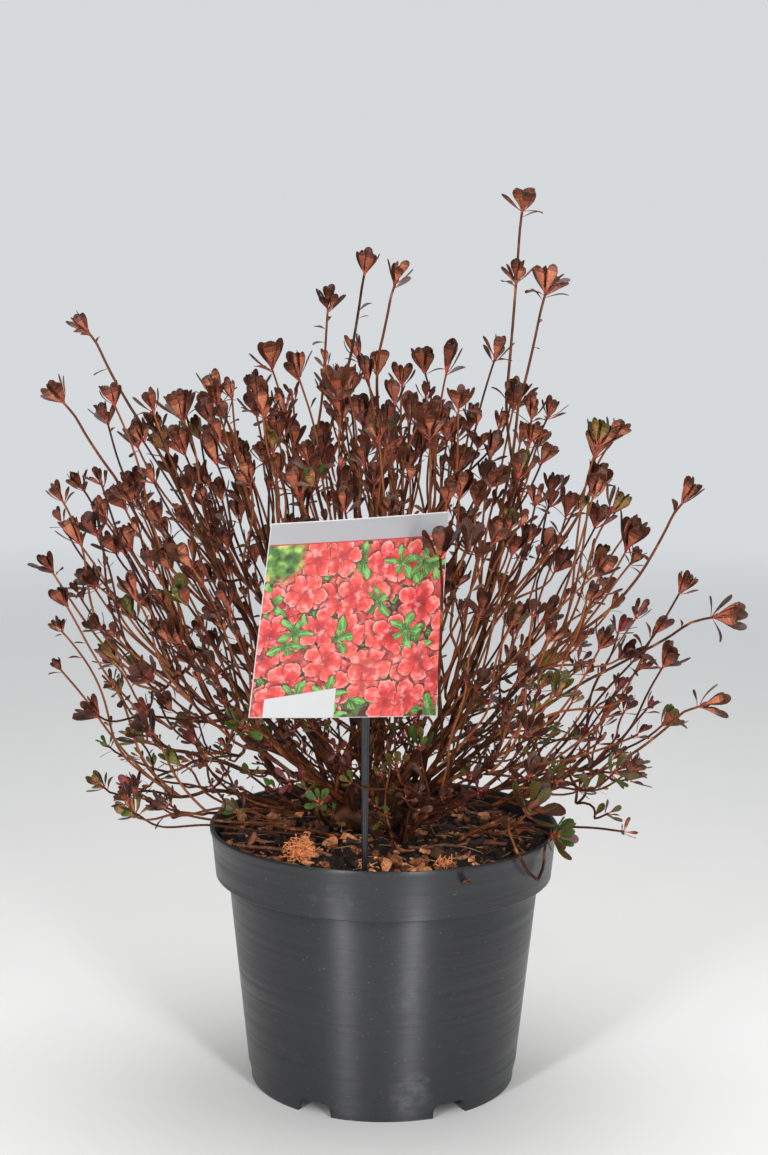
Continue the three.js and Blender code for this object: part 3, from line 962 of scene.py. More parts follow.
# how far its corners stray from square in mm: low left, low right, high left and high right
CARD_STRAYS = ((-3.4, 1.5), (1.7, -3.1), (2.8, -4.2), (-4.4, 3.8))
CARD_YAW, CARD_LEAN, CARD_ROLL = 19.5, 8.8, 1.8
STICK_YAW, STICK_LEAN = 19.5, 6.8
STICK_SIZE = (6.5 * MM, 3 * MM)


def middle_of(node):
    """The middle of a node's box."""
    low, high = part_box(node)
    return (low + high) / 2


def make_card():
    """A thin card, bowed and a little out of square, with the print's map on it."""
    card = added(bpy.ops.mesh.primitive_grid_add, x_subdivisions=16, y_subdivisions=16, size=1)
    width, height = CARD_SIZE
    card.scale = (width, height, 1)
    bpy.ops.object.transform_apply(scale=True)
    uv = card.data.uv_layers[0]
    uv.name = "card"
    co = np.array([v.co for v in card.data.vertices])
    for loop in card.data.loops:
        x, y, _ = co[loop.vertex_index]
        uv.data[loop.index].uv = (x / width + 0.5, y / height + 0.5)
    low_left, low_right, high_left, high_right = (Vector((*stray, 0)) * MM for stray in CARD_STRAYS)
    for vertex in card.data.vertices:
        across, up = vertex.co.x / width + 0.5, vertex.co.y / height + 0.5
        vertex.co += low_left.lerp(low_right, across).lerp(high_left.lerp(high_right, across), up)
        vertex.co.z = -CARD_BOW * (2 * across - 1) ** 2
    with_modifier(card, "SOLIDIFY", thickness=CARD_THICK, offset=0)
    with_modifier(card, "BEVEL", width=0.25 * MM, segments=1, limit_method="ANGLE", angle_limit=0.9)
    upright = Matrix.Rotation(math.radians(90), 4, "X")
    turn = (
        Matrix.Rotation(math.radians(CARD_YAW), 4, "Z")
        @ Matrix.Rotation(math.radians(CARD_LEAN), 4, "X")
        @ Matrix.Rotation(math.radians(CARD_ROLL), 4, "Y")
    )
    card.matrix_world = Matrix.Translation(middle_of("label_card")) @ turn @ upright
    settle(card, "label_print", 30)
    plain = mottled("card_back", (0.78, 0.78, 0.77), 0.35, 0.5, 90, 0.0001, 0.97, 1.02)
    paint(card, print_of_blossom())
    card.data.materials.append(plain)
    front = turn @ Vector((0, -1, 0))
    for face in card.data.polygons:
        face.material_index = 0 if face.normal.dot(front) > 0.6 else 1
    placed(card, ["label_card"])


def make_stick():
    """A black moulded stick: a bar with a groove in front and behind, narrowed at its foot."""
    low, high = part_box("label_stick")
    length = (high.z - low.z) / math.cos(math.radians(STICK_LEAN)) - 2 * MM
    stick = added(bpy.ops.mesh.primitive_cube_add, size=1)
    stick.scale = (*STICK_SIZE, length)
    bpy.ops.object.transform_apply(scale=True)
    bpy.ops.object.mode_set(mode="EDIT")
    bpy.ops.mesh.select_mode(type="FACE")
    bpy.ops.mesh.select_all(action="DESELECT")
    bpy.ops.object.mode_set(mode="OBJECT")
    for face in stick.data.polygons:
        face.select = abs(face.normal.y) > 0.9
    bpy.ops.object.mode_set(mode="EDIT")
    bpy.ops.mesh.inset(thickness=1.6 * MM, use_individual=True)
    bpy.ops.mesh.extrude_faces_move(TRANSFORM_OT_shrink_fatten={"value": -0.7 * MM})
    bpy.ops.mesh.select_all(action="SELECT")
    bpy.ops.mesh.normals_make_consistent(inside=False)
    bpy.ops.object.mode_set(mode="OBJECT")
    for vertex in stick.data.vertices:
        if vertex.co.z < -0.45 * length:
            vertex.co.x *= 0.35
    with_modifier(stick, "BEVEL", width=0.35 * MM, segments=2, limit_method="ANGLE", angle_limit=0.6)
    lean = Matrix.Rotation(math.radians(STICK_LEAN), 4, "X")
    yaw = Matrix.Rotation(math.radians(STICK_YAW), 4, "Z")
    stick.matrix_world = Matrix.Translation(middle_of("label_stick")) @ (lean @ yaw)
    settle(stick, "label_stake", 30)
    paint(stick, mottled("stick_plastic", (0.012, 0.013, 0.016), 0.35, 0.5, 180, 0.0002))
    placed(stick, ["label_stick"])


# ---- growth: reading the frame ------------------------------------------------------------

MASS_NAMES = sorted(n[5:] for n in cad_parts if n.startswith("mass_"))
LEADER_NAMES = sorted(n[5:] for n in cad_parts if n.startswith("tuft_"))
CROWN_HEART = np.array([0.0, 0.0, 0.33])

grower = np.random.default_rng(2026)


class Mass:
    """A mass of the frame, as room that growth fills."""

    def __init__(self, name):
        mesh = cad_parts["mass_" + name].data
        points = [v.co.copy() for v in mesh.vertices]
        self.name = name
        self.tree = BVHTree.FromPolygons(points, [tuple(p.vertices) for p in mesh.polygons])
        self.low, self.high = (np.array(corner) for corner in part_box("mass_" + name))

    def depth(self, point):
        """How far inside the mass a point is, or below 0 outside it."""
        if np.any(point < self.low) or np.any(point > self.high):
            return -1.0
        hit, normal, _, distance = self.tree.find_nearest(Vector(point))
        return distance if (Vector(point) - hit).dot(normal) < 0 else -distance


MASSES = [Mass(name) for name in MASS_NAMES]


def crown_depth(point):
    """How far inside the crown a point is, or below 0 in the open."""
    return max(mass.depth(point) for mass in MASSES)


def centreline(node, start_near, stations=7):
    """Points along the middle of a limb of the frame, from the end nearest a point."""
    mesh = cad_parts[node].data
    co = np.array([v.co for v in mesh.vertices])
    edges = np.array([e.vertices for e in mesh.edges])
    start = co[np.argmin(np.linalg.norm(co - start_near, axis=1))]
    end = co[np.argmax(np.linalg.norm(co - start, axis=1))]
    reach = (co - start) @ unit(end - start)
    points = []
    for share in np.linspace(0.05, 0.95, stations):
        level = share * reach.max()
        a, b = reach[edges[:, 0]], reach[edges[:, 1]]
        crossing = edges[(a - level) * (b - level) < 0]
        t = (level - reach[crossing[:, 0]]) / (reach[crossing[:, 1]] - reach[crossing[:, 0]])
        ring = co[crossing[:, 0]] * (1 - t[:, None]) + co[crossing[:, 1]] * t[:, None]
        points.append((ring.min(axis=0) + ring.max(axis=0)) / 2)
    return np.array(points)


def smooth_line(points, step=5 * MM):
    """A denser line through points, on a Catmull-Rom spline."""
    padded = np.concatenate([[2 * points[0] - points[1]], points, [2 * points[-1] - points[-2]]])
    line = []
    for a, b, c, d in zip(padded, padded[1:], padded[2:], padded[3:]):
        t = np.linspace(0, 1, max(2, int(np.linalg.norm(c - b) / step)), endpoint=False)[:, None]
        curve = 2 * b + (c - a) * t + (2 * a - 5 * b + 4 * c - d) * t**2
        line.append(0.5 * (curve + (3 * b - a - 3 * c + d) * t**3))
    return np.concatenate([*line, padded[-2][None]])


def length_along(line):
    """How far along a line each of its points is."""
    return np.concatenate([[0], np.cumsum(np.linalg.norm(np.diff(line, axis=0), axis=1))])


# ---- growth: where shoots end -------------------------------------------------------------

TIP_SPACING = 25.5 * MM
TIP_DEPTH = 4 * MM  # the least that a shoot's tip is inside its mass
LEAF_REACH = 15 * MM  # how far ahead of a tip its leaves still need room
SKIN = 22 * MM  # the outermost part of the crown, which only some shoots reach
LIT_DEPTH = 38 * MM  # past this, shoots thin out towards the inside
TRIES_PER_MASS = 1500
BARE_HEIGHTS = (290 * MM, 340 * MM, 410 * MM, 500 * MM)  # where few shoots end and bare wood shows
BARE_SPREAD = (0.35, 0.52, 0.54, 0.10)
THIN_SIDE = 105 * MM  # to the right of this the crown is thinner
ROOM_STEP = 11 * MM
ROOM_STEPS = 14
GAPS = 38  # openings among the shoots
GAP_RADIUS = (16 * MM, 32 * MM)


def outward(point):
    """The level way from the plant's axis."""
    off_axis = 1e-6  # so that there is a way even on the axis
    return unit(np.array([point[0], point[1], 0.0]) + off_axis)


def way_out(point):
    """The way from the middle of the crown."""
    return unit(point - CROWN_HEART)


def shoot_way(point):
    """The way that a shoot points where it ends: outwards, but turned up to the light."""
    return unit(0.36 * way_out(point) + 0.62 * UP + 0.08 * outward(point))


def room_outwards(point):
    """How far growth could go on from a point before it leaves the crown."""
    way = way_out(point)
    for count in range(1, ROOM_STEPS):
        if crown_depth(point + way * ROOM_STEP * count) < 0:
            return ROOM_STEP * count
    return ROOM_STEP * ROOM_STEPS


def tip_spacing(point, room):
    """How far apart shoots end: wide in the skin, low down and deep inside."""
    factor = grower.uniform(0.75, 1.25)
    factor += np.interp(point[2], BARE_HEIGHTS, BARE_SPREAD)
    factor += 0.55 * np.clip((point[0] - THIN_SIDE) / (40 * MM), 0, 1)
    if room < SKIN:
        factor *= 1.3
    return TIP_SPACING * (factor + max(room - LIT_DEPTH, 0) / (70 * MM))


def in_crown():
    """A random place in one of the masses."""
    mass = MASSES[grower.integers(len(MASSES))]
    while True:
        point = grower.uniform(mass.low, mass.high)
        if mass.depth(point) > TIP_DEPTH:
            return point


def scatter_tips():
    """Places for shoot tips in each mass, with gaps between the crowds of them."""
    gaps = np.array([in_crown() for _ in range(GAPS)])
    gap_radii = grower.uniform(*GAP_RADIUS, GAPS)
    taken = np.empty((len(MASSES) * TRIES_PER_MASS, 3))
    count = 0
    tips = {}
    for mass in MASSES:
        first = count
        for _ in range(TRIES_PER_MASS):
            point = grower.uniform(mass.low, mass.high)
            if mass.depth(point) < TIP_DEPTH:
                continue
            if np.any(np.linalg.norm(gaps - point, axis=1) < gap_radii):
                continue
            if crown_depth(point + shoot_way(point) * LEAF_REACH) < 0:
                continue
            spacing = tip_spacing(point, room_outwards(point))
            if count and np.min(np.linalg.norm(taken[:count] - point, axis=1)) < spacing:
                continue
            taken[count] = point
            count += 1
        tips[mass.name] = taken[first:count].copy()
    return tips


# ---- growth: the branching rule -----------------------------------------------------------

TWIG_RADIUS = 1.0 * MM
PIPE_POWER = 0.335  # a limb's thickness grows with this power of its number of shoots
OLD_ABOVE = 2.3 * MM  # wood with a larger radius is old
YOUNG_BELOW = 1.35 * MM  # and with a smaller one young
DARK_SHARE = 0.46  # how much of the thinner wood has the darker of its two barks, dealt at random as painted shade
DARK_LOW = 0.62  # and how much of the low wood, where the darker bark is painted shade
SHADED_BELOW = 330 * MM  # thin wood that ends lower than this gets darker barks, as painted shade
STEM_STEP = 3 * MM
STEM_SIDES = 11
KNUCKLE_STEP = 12 * MM
PAINTED_SHADE_HEART = 80 * MM  # most old stems nearer to the axis than this, or low, get the darker old bark as painted shade
LAST_SHOOT = (60 * MM, 150 * MM)  # high in the crown
SHORTEST_LIMB = 12 * MM
LOW_SHARE = 0.3  # how long the lowest last shoots are beside those
FROM_BOUGH = 0.62  # the share of side stems that come off a bough
HIGH_TINTS = (0.56, 0.27, 0.10, 0.07)  # shares of chestnut, rust, bronze and dark at the top, lighter there as painted light
LOW_TINTS = (0.08, 0.24, 0.36, 0.32)  # and low in the crown, darker there as painted shade
WHORL_HEIGHTS = (0.22, 0.34, 0.46)
WHORL_SIZES = (0.76, 0.88, 1.06)  # how large the whorls at those heights are
SECOND_WHORL = 0.55  # the size of a whorl part of the way along a shoot, beside its last one
SECOND_SHARE = 0.45  # how many long shoots have one
CLUMP = (12 * MM, 52 * MM)  # how far from the foot's middle stems come out of the compost

stems, twigs, shoots, shaded = Heap(), Heap(), Heap(), Heap()
limb_lines = []  # every stem's line, which later growth can start from
sprays = []  # (place, axis, size, tint) of each whorl of leaves
single_leaves = []  # (place, axis, outward, length, tint)


def wood_radius(count):
    """How thick a limb is that carries a number of shoots."""
    return TWIG_RADIUS * count**PIPE_POWER


def wandering(points, share):
    """A path with slow bends of its own, which fade out at both ends."""
    t = np.linspace(0, 1, len(points))[:, None]
    span = np.linalg.norm(points[-1] - points[0])
    for waves in (1, 2, 3):
        points = points + np.sin(waves * np.pi * t) * grower.normal(0, share * span / waves, 3)
    return points


def unrest(point):
    """How much a limb to a place wanders: low twigs are crooked and high shoots nearly straight."""
    return np.interp(point[2], (0.28, 0.40), (0.050, 0.022))


def add_limb(points, radii):
    """A limb's tube goes to the old, brown or young wood by how thick it is. Some get a darker bark as
    painted shade: at random, more often low down, and low thin wood gets a darker pair of barks.
    """
    thick = np.max(radii)
    along = grower.uniform(0, 4)
    low = points[-1][2] < SHADED_BELOW
    # painted shade: low wood takes the darker of its two barks more often
    slot = int(grower.random() < (DARK_LOW if low else DARK_SHARE))
    if thick > OLD_ABOVE:
        add_stem(points, radii, along)
    elif thick > YOUNG_BELOW:
        add_tube(twigs, points, radii, 6, slot, along)
    # painted shade: low thin wood goes to a heap whose barks are darker than the young shoots'
    elif low:
        add_tube(shaded, points, radii, 5, slot, along)
    else:
        add_tube(shoots, points, radii, 5, slot, along)


def add_stem(points, radii, along):
    """An old stem has relief: long ridges of bark, a few knuckles and an uneven girth."""
    far = length_along(points)
    even = np.linspace(0, far[-1], max(5, int(far[-1] / STEM_STEP)))
    line = np.stack([np.interp(even, far, points[:, i]) for i in range(3)], axis=1)
    girth = np.interp(even, far, radii)
    window = 9  # steps over which a ridge is smoothed
    ridges = grower.normal(0, 1, (len(even) + window - 1, STEM_SIDES))
    ridges = np.stack([ridges[i:i + len(even)] for i in range(window)]).mean(axis=0) * 3
    knuckles = np.linspace(0, even[-1], int(even[-1] / KNUCKLE_STEP) + 3)
    swell = np.interp(even, knuckles, grower.normal(0, 1, len(knuckles)))
    relief = 1 + 0.075 * ridges + 0.06 * swell[:, None]
    middle = line[len(line) // 2]
    # painted shade: old stems near the axis or low mostly get the dark old bark, the others mostly the
    # brown
    shade = 0.8 if np.linalg.norm(middle[:2]) < PAINTED_SHADE_HEART or middle[2] < SHADED_BELOW else 0.1
    slot = int(grower.random() > shade)
    add_tube(stems, line, girth, STEM_SIDES, slot, along, relief)


def leaves_along(points, tint, chance):
    """Now and then a single leaf beside a shoot."""
    for before, place, after in zip(points, points[1:], points[2:]):
        if grower.random() < chance:
            way = unit(after - before)
            side = unit(np.cross(way, grower.normal(size=3)))
            single_leaves.append((place, way, side, grower.uniform(8, 16) * MM, tint))


def tint_for(point):
    """A leaf tint for a whorl: brighter high in the crown and darker low down, as painted light and
    shade, and greener, so also darker, low down and inside.
    """
    low = np.clip((0.39 - point[2]) / 0.12, 0, 1)
    inside = np.clip(1 - np.linalg.norm((point - CROWN_HEART) / (0.24, 0.19, 0.20)), 0, 1)
    if grower.random() < 0.05 + 0.30 * low + 0.3 * inside:
        return "green" if grower.random() < 0.35 * low + 0.1 else "olive"
    if grower.random() < 0.45 * low:
        return "wine"
    # painted light and shade: lighter tints high in the crown, darker ones low
    high = np.clip((point[2] - 0.40) / 0.12, 0, 1)
    shares = high * np.array(HIGH_TINTS) + (1 - high) * np.array(LOW_TINTS)
    return str(grower.choice(["chestnut", "rust", "bronze", "dark"], p=shares))


def finish_shoot(start, way, tip, size=1.0, tint=None):
    """A last shoot from a fork to its tip, with its whorl of leaves."""
    tint = tint or tint_for(tip)
    aim = unit(tip - start)
    end_way = unit(0.30 * aim + 0.75 * shoot_way(tip) + grower.normal(0, 0.09, 3))
    points = bent_path(start, unit(0.4 * way + 0.6 * aim), tip, end_way, pull=0.42)
    points = wandering(points, unrest(tip))
    add_limb(points, np.linspace(TWIG_RADIUS * 1.12, TWIG_RADIUS * 0.85, len(points)))
    leaves_along(points[len(points) // 2:], tint, np.interp(tip[2], (0.30, 0.42), (0.14, 0.05)))
    size *= grower.uniform(0.70, 1.20) * np.interp(tip[2], WHORL_HEIGHTS, WHORL_SIZES)
    sprays.append((tip, end_way, size, tint))
    long = np.interp(tip[2], (0.32, 0.42), (24, 60)) * MM
    if np.linalg.norm(tip - start) > long and grower.random() < SECOND_SHARE:
        middle = int(len(points) * grower.uniform(0.5, 0.75))
        way = unit(points[middle + 1] - points[middle])
        sprays.append((points[middle], way, SECOND_WHORL * size, tint))


def bundles(tips, origin, parts):
    """Tips dealt out into bundles that lie in like directions from an origin."""
    ways = tips - origin
    ways = ways / np.linalg.norm(ways, axis=1, keepdims=True)
    hearts = ways[grower.choice(len(tips), parts, replace=False)]
    for _ in range(8):
        nearest = np.argmax(ways @ hearts.T, axis=1)
        for i in range(parts):
            if np.any(nearest == i):
                hearts[i] = unit(ways[nearest == i].mean(axis=0))
    return [tips[nearest == i] for i in range(parts) if np.any(nearest == i)]


def last_shoot(tips):
    """How long a last shoot is: long above, short in the crown's skirt."""
    share = np.interp(np.mean(tips[:, 2]), (0.28, 0.42), (LOW_SHARE, 1))
    return share * grower.uniform(*LAST_SHOOT)


def grow_limb(start, way, bundle, share, stray=0.11, swell=1.06):
    """A limb a share of the way to below a bundle of tips: (the fork at its end, the way there).

    stray is how far it may point aside, and swell is how much thicker it starts.
    """
    heart = bundle.mean(axis=0)
    rise = min(last_shoot(bundle), 0.7 * np.linalg.norm(heart - start))
    below = heart - shoot_way(heart) * rise
    aim = unit(below - start)
    length = max(SHORTEST_LIMB, np.linalg.norm(below - start) * share)
    fork = start + length * unit(aim + stray * grower.normal(size=3))
    fork_way = unit(aim + 0.5 * shoot_way(heart))
    points = wandering(bent_path(start, unit(0.55 * way + 0.45 * aim), fork, fork_way), unrest(heart))
    radius = wood_radius(len(bundle))
    add_limb(points, np.linspace(radius * swell, radius * 0.95, len(points)))
    limb_lines.append(points)
    return fork, fork_way


def grow(start, way, tips):
    """Growth from a fork: each bundle of tips gets its own limb, which forks again."""
    if len(tips) == 1:
        finish_shoot(start, way, tips[0])
        return
    parts = min(len(tips), int(grower.choice([2, 3, 4], p=[0.45, 0.4, 0.15])))
    for bundle in bundles(tips, start, parts):
        if len(bundle) == 1:
            finish_shoot(start, way, bundle[0])
        else:
            grow(*grow_limb(start, way, bundle, grower.uniform(0.45, 0.75)), bundle)


def grow_side_stem(line, bundle, foot_middle):
    """A stem beside a bough, from it or from the compost by the foot, up to its own bundle of tips."""
    if grower.random() < FROM_BOUGH:
        far = length_along(line)
        at = int(np.searchsorted(far, far[-1] * grower.uniform(0.08, 0.5)))
        start, way = line[at], unit(line[at + 1] - line[at])
    else:
        level = unit(outward(bundle.mean(axis=0) - foot_middle) + grower.normal(0, 0.35, 3) * (1, 1, 0))
        start = foot_middle + level * grower.uniform(*CLUMP)
        start[2] = COMPOST_TOP - 8 * MM
        way = unit(grower.uniform(0.1, 0.8) * level + 0.7 * UP)
    grow(*grow_limb(start, way, bundle, grower.uniform(0.5, 0.75), 0.06, 1.3), bundle)


def grow_mass(mass, tips, foot_middle):
    """A bough from the foot into a mass, its side stems and all that they carry."""
    points = centreline("bough_" + mass.name, foot_middle)
    root = 0.6 * foot_middle + 0.4 * points[0] - 4 * MM * UP
    line = smooth_line(np.concatenate([[root], points]))
    limb_lines.append(line)
    parts = min(len(tips), 2 + len(tips) // 14)
    split = bundles(tips, line[len(line) // 3], parts)
    ends = [np.linalg.norm(bundle.mean(axis=0) - line[-1]) for bundle in split]
    main = int(np.argmin(ends))
    for index, bundle in enumerate(split):
        if index != main:
            grow_side_stem(line, bundle, foot_middle)
    way = unit(line[-1] - line[-3])
    radii = np.linspace(wood_radius(len(tips)), wood_radius(len(split[main])), len(line))
    add_limb(wandering(line, 0.006), radii)
    grow(line[-1], way, split[main])


def nearest_start(place, way, back):
    """A point on a stem from which a new shoot could come up to a place, and its way there."""
    lines = np.concatenate([line[:-1] for line in limb_lines])
    ways = np.concatenate([np.diff(line, axis=0) for line in limb_lines])
    wanted = place - way * back
    low_enough = lines[:, 2] < place[2] - 0.25 * back
    gaps = np.linalg.norm(lines - wanted, axis=1) + np.where(low_enough, 0, 1)
    best = int(np.argmin(gaps))
    return lines[best], unit(ways[best])


# ---- growth: leaders, inner sprays and strays ---------------------------------------------

INNER_HEART = np.array([0.0, -0.02, 0.290])
INNER_REACH = np.array([0.17, 0.13, 0.06])
INNER_TRIES = 900
INNER_SPACING = 28 * MM
INNER_TINTS = {"olive": 0.2, "green": 0.1, "wine": 0.2, "bronze": 0.2, "dark": 0.3}
LEADER_RUN = 150 * MM  # how far below its frame's shoot a leader comes off a stem
TUFT_PER_SIZE = 33 * MM  # the height of a tuft whose whorl has size 1
TWO_WHORLS = "tall_right"  # the leader that has a second whorl


def grow_leader(name):
    """A leader: it comes off a stem inside the crown and follows the frame's shoot to its tuft."""
    low, high = (np.array(corner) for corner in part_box("tuft_" + name))
    tall = high[2] - low[2]
    tip = np.array([(low[0] + high[0]) / 2, (low[1] + high[1]) / 2, low[2] + 0.3 * tall])
    points = centreline("shoot_" + name, CROWN_HEART, 5)
    way = unit(points[1] - points[0])
    start, start_way = nearest_start(points[0], way, LEADER_RUN)
    rise = wandering(bent_path(start, start_way, points[0], way), 0.012)
    line = np.concatenate([rise, smooth_line(np.concatenate([points, [tip]]), 7 * MM)[1:]])
    add_limb(line, np.linspace(TWIG_RADIUS * 1.4, TWIG_RADIUS * 0.95, len(line)))
    tint = str(grower.choice(["rust", "bronze", "chestnut"]))
    sprays.append((tip, unit(line[-1] - line[-3]), tall / TUFT_PER_SIZE, tint))
    leaves_along(line[-8:], tint, 0.2)
    if name == TWO_WHORLS:
        sprays.append((line[-8], unit(line[-7] - line[-8]), 0.95, tint))


def grow_inner_sprays():
    """Thin shoots with small dark and green leaves fill the plant's shaded middle."""
    taken = []
    for _ in range(INNER_TRIES):
        offset = grower.uniform(-1, 1, 3)
        point = INNER_HEART + INNER_REACH * offset
        if np.linalg.norm(offset) > 1:
            continue
        if taken and np.min(np.linalg.norm(np.array(taken) - point, axis=1)) < INNER_SPACING:
            continue
        taken.append(point)
        way = unit(0.6 * outward(point) + 0.5 * UP)
        start, start_way = nearest_start(point, way, grower.uniform(50, 90) * MM)
        tint = str(grower.choice(list(INNER_TINTS), p=list(INNER_TINTS.values())))
        finish_shoot(start, start_way, point, grower.uniform(0.5, 0.75), tint)


LOW_REACH = (150 * MM, 236 * MM)
LOW_HEIGHT = (230 * MM, 378 * MM)
LOW_SPACING = 35 * MM
LOW_TRIES = 1200
LOW_BUNDLE = 8
OPEN_FRONT = -75 * MM  # in front of this no low sprays hide the foot
LOW_SIDES = 205 * MM  # and none is further to the front or back than this


def grow_low_sprays(foot_middle):
    """Dark twigs with small open whorls fill the crown's skirt, out to the sides and back."""
    taken = [place for place, *_ in sprays]
    places = []
    for _ in range(LOW_TRIES):
        turn = grower.uniform(0, 2 * np.pi)
        reach = grower.uniform(*LOW_REACH)
        height = grower.uniform(*LOW_HEIGHT)
        place = np.array([reach * math.cos(turn), reach * math.sin(turn), height])
        if place[1] < OPEN_FRONT or abs(place[1]) > LOW_SIDES:
            continue
        if np.min(np.linalg.norm(np.array(taken) - place, axis=1)) < LOW_SPACING:
            continue
        taken.append(place)
        places.append(place)
    for bundle in bundles(np.array(places), foot_middle, len(places) // LOW_BUNDLE):
        heart = bundle.mean(axis=0)
        way = unit(0.8 * outward(heart) + 0.5 * UP)
        start, start_way = nearest_start(heart, way, grower.uniform(100, 150) * MM)
        grow(*grow_limb(start, start_way, bundle, grower.uniform(0.6, 0.8)), bundle)


# Long shoots that stand out of the crown: (the place of the whorl in mm, its size)
OUTLINE_SHOOTS = [
    ((-212, -30, 555), 0.9),
    ((-185, 0, 547), 1.0),
    ((-164, 40, 547), 1.0),
    ((-121, -20, 560), 1.0),
    ((-95, -60, 554), 1.0),
    ((-92, 20, 580), 1.0),
    ((-69, -20, 576), 1.0),
    ((-50, 50, 580), 1.0),
    ((-36, -50, 563), 1.05),
    ((-15, 30, 572), 1.0),
    ((30, 40, 577), 1.1),
    ((47, -10, 581), 1.15),
    ((55, -50, 556), 1.05),
    ((86, 20, 589), 1.0),
    ((101, 50, 553), 0.9),
    ((126, -20, 546), 0.85),
    ((166, 0, 514), 1.2),
    ((160, -50, 488), 1.15),
    ((191, -20, 443), 1.0),
    ((-255, -20, 478), 0.95),
    ((-220, -50, 495), 0.9),
    ((-264, -20, 421), 0.9),
    ((-249, -50, 400), 0.8),
    ((-262, 10, 368), 0.7),
    ((-258, -30, 345), 0.8),
    ((211, -40, 379), 1.0),
    ((220, -40, 305), 1.0),
    ((171, -30, 288), 0.6),
]
FREE_SHOOTS = 50  # more of them, dealt out all round
FREE_REACH = (-6 * MM, 30 * MM)  # how far past the masses they end
WIDEST = 0.32  # further than any mass reaches from the heart of the crown

# (where the twig starts, the places it passes in mm, its thickness, its whorl's size, its tint)
# A size of 0 leaves the whorl off.
STRAYS = [
    ((70, -40, 214), ((98, -76, 230), (112, -90, 246)), 1.3, 1.6, "olive"),
    ((98, -76, 230), ((116, -88, 232), (130, -98, 230)), 1.1, 1.15, "olive"),
    ((82, -30, 216), ((150, -75, 232), (188, -70, 226)), 1.2, 0.7, "wine"),
    ((60, -50, 212), ((93, -80, 240), (97, -97, 230), (103, -102, 217)), 1.5, 0, ""),
    ((103, -102, 217), ((109, -94, 204), (119, -80, 190), (121, -77, 189)), 1.4, 0, ""),
    ((121, -77, 189), ((125, -71, 200), (127, -68, 214)), 1.4, 0, ""),
    ((44, -100, 300), ((46, -150, 380), (39, -168, 459)), 1.45, 1.25, "bronze"),
    ((-40, -40, 212), ((-90, -75, 236), (-112, -92, 246)), 1.2, 0.8, "olive"),
    ((20, -60, 216), ((34, -96, 262), (27, -128, 306)), 1.2, 1.0, "green"),
    ((-60, -50, 216), ((-128, -74, 228), (-172, -76, 226), (-196, -62, 236)), 1.1, 0.9, "olive"),
    ((-80, -40, 222), ((-150, -60, 236), (-196, -50, 250)), 1.2, 1.0, "wine"),
]


def grow_long_shoot(tip, size):
    """A long shoot to a tip, from the stem that lies best for it."""
    way = unit(shoot_way(tip) + 0.3 * UP)
    start, start_way = nearest_start(tip, way, grower.uniform(100, 170) * MM)
    finish_shoot(start, start_way, tip, size)


def past_crown():
    """A random place just past the masses, but within the plant's own box."""
    low, high = (np.array(corner) for corner in cad_box)
    while True:
        way = unit(grower.normal(size=3) * (1, 1, 0.8) + 0.5 * UP)
        reach = WIDEST
        while reach > 0 and crown_depth(CROWN_HEART + way * reach) < 0:
            reach -= 6 * MM
        place = CROWN_HEART + way * (reach + grower.uniform(*FREE_REACH))
        if way[2] > -0.2 and np.all(place > low) and np.all(place < high):
            return place


def grow_outline_shoots():
    """The long shoots with given places, and more of them all round."""
    for place, size in OUTLINE_SHOOTS:
        grow_long_shoot(np.array(place) * MM, size)
    for _ in range(FREE_SHOOTS):
        grow_long_shoot(past_crown(), grower.uniform(0.8, 1.1))


def grow_strays():
    """Single twigs that stray from the crown: over the rim, past the card and out to the sides."""
    for start, passed, thick, size, tint in STRAYS:
        line = wandering(smooth_line(np.array([start, *passed]) * MM, 4 * MM), 0.025)
        add_limb(line, np.linspace(TWIG_RADIUS * thick, TWIG_RADIUS * 0.75 * thick, len(line)))
        if size:
            sprays.append((line[-1], unit(line[-1] - line[-3] + 3 * MM * UP), size, tint))


# ---- growth: leaves and buds --------------------------------------------------------------

LEAF_LENGTH = 20 * MM
LEAF_STATIONS = np.array([0.0, 0.21, 0.40, 0.60, 0.79, 0.93, 1.0])
LEAF_WIDTHS = np.array([0.17, 0.24, 0.56, 0.90, 1.00, 0.74, 0.26])
LEAF_MARGIN = 0.15  # how much of each half is the dark margin that shows from below
LEAF_THICK = 0.032  # share of its length
LEAF_SPOTS = (520, 0.0006)  # how fine the spots on a leaf are, and how deep their dents
TINTS = {
    # name: (upper face, lower face, the lower face near the tip)
    "chestnut": ((0.086, 0.026, 0.012), (0.440, 0.144, 0.080), (0.210, 0.062, 0.034)),
    "rust": ((0.068, 0.020, 0.010), (0.350, 0.095, 0.051), (0.155, 0.043, 0.024)),
    "bronze": ((0.049, 0.015, 0.007), (0.240, 0.063, 0.032), (0.092, 0.027, 0.015)),
    "dark": ((0.034, 0.011, 0.007), (0.145, 0.038, 0.021), (0.055, 0.017, 0.011)),
    "wine": ((0.085, 0.015, 0.013), (0.235, 0.040, 0.036), (0.130, 0.023, 0.020)),
    "olive": ((0.068, 0.050, 0.010), (0.300, 0.158, 0.052), (0.150, 0.096, 0.028)),
    "green": ((0.036, 0.068, 0.009), (0.165, 0.160, 0.034), (0.098, 0.112, 0.024)),
}
KIN = {  # the tints that some leaves of a whorl take instead
    "chestnut": ("rust", "bronze", "rust"),
    "rust": ("bronze", "chestnut", "dark"),
    "bronze": ("dark", "rust", "dark"),
    "dark": ("bronze", "rust", "bronze"),
    "wine": ("dark", "rust", "bronze"),
    "olive": ("chestnut", "green", "bronze"),
    "green": ("olive", "olive", "wine"),
}
KIN_SHARE = 0.42
STALK_TINT = (0.42, 0.078, 0.056)


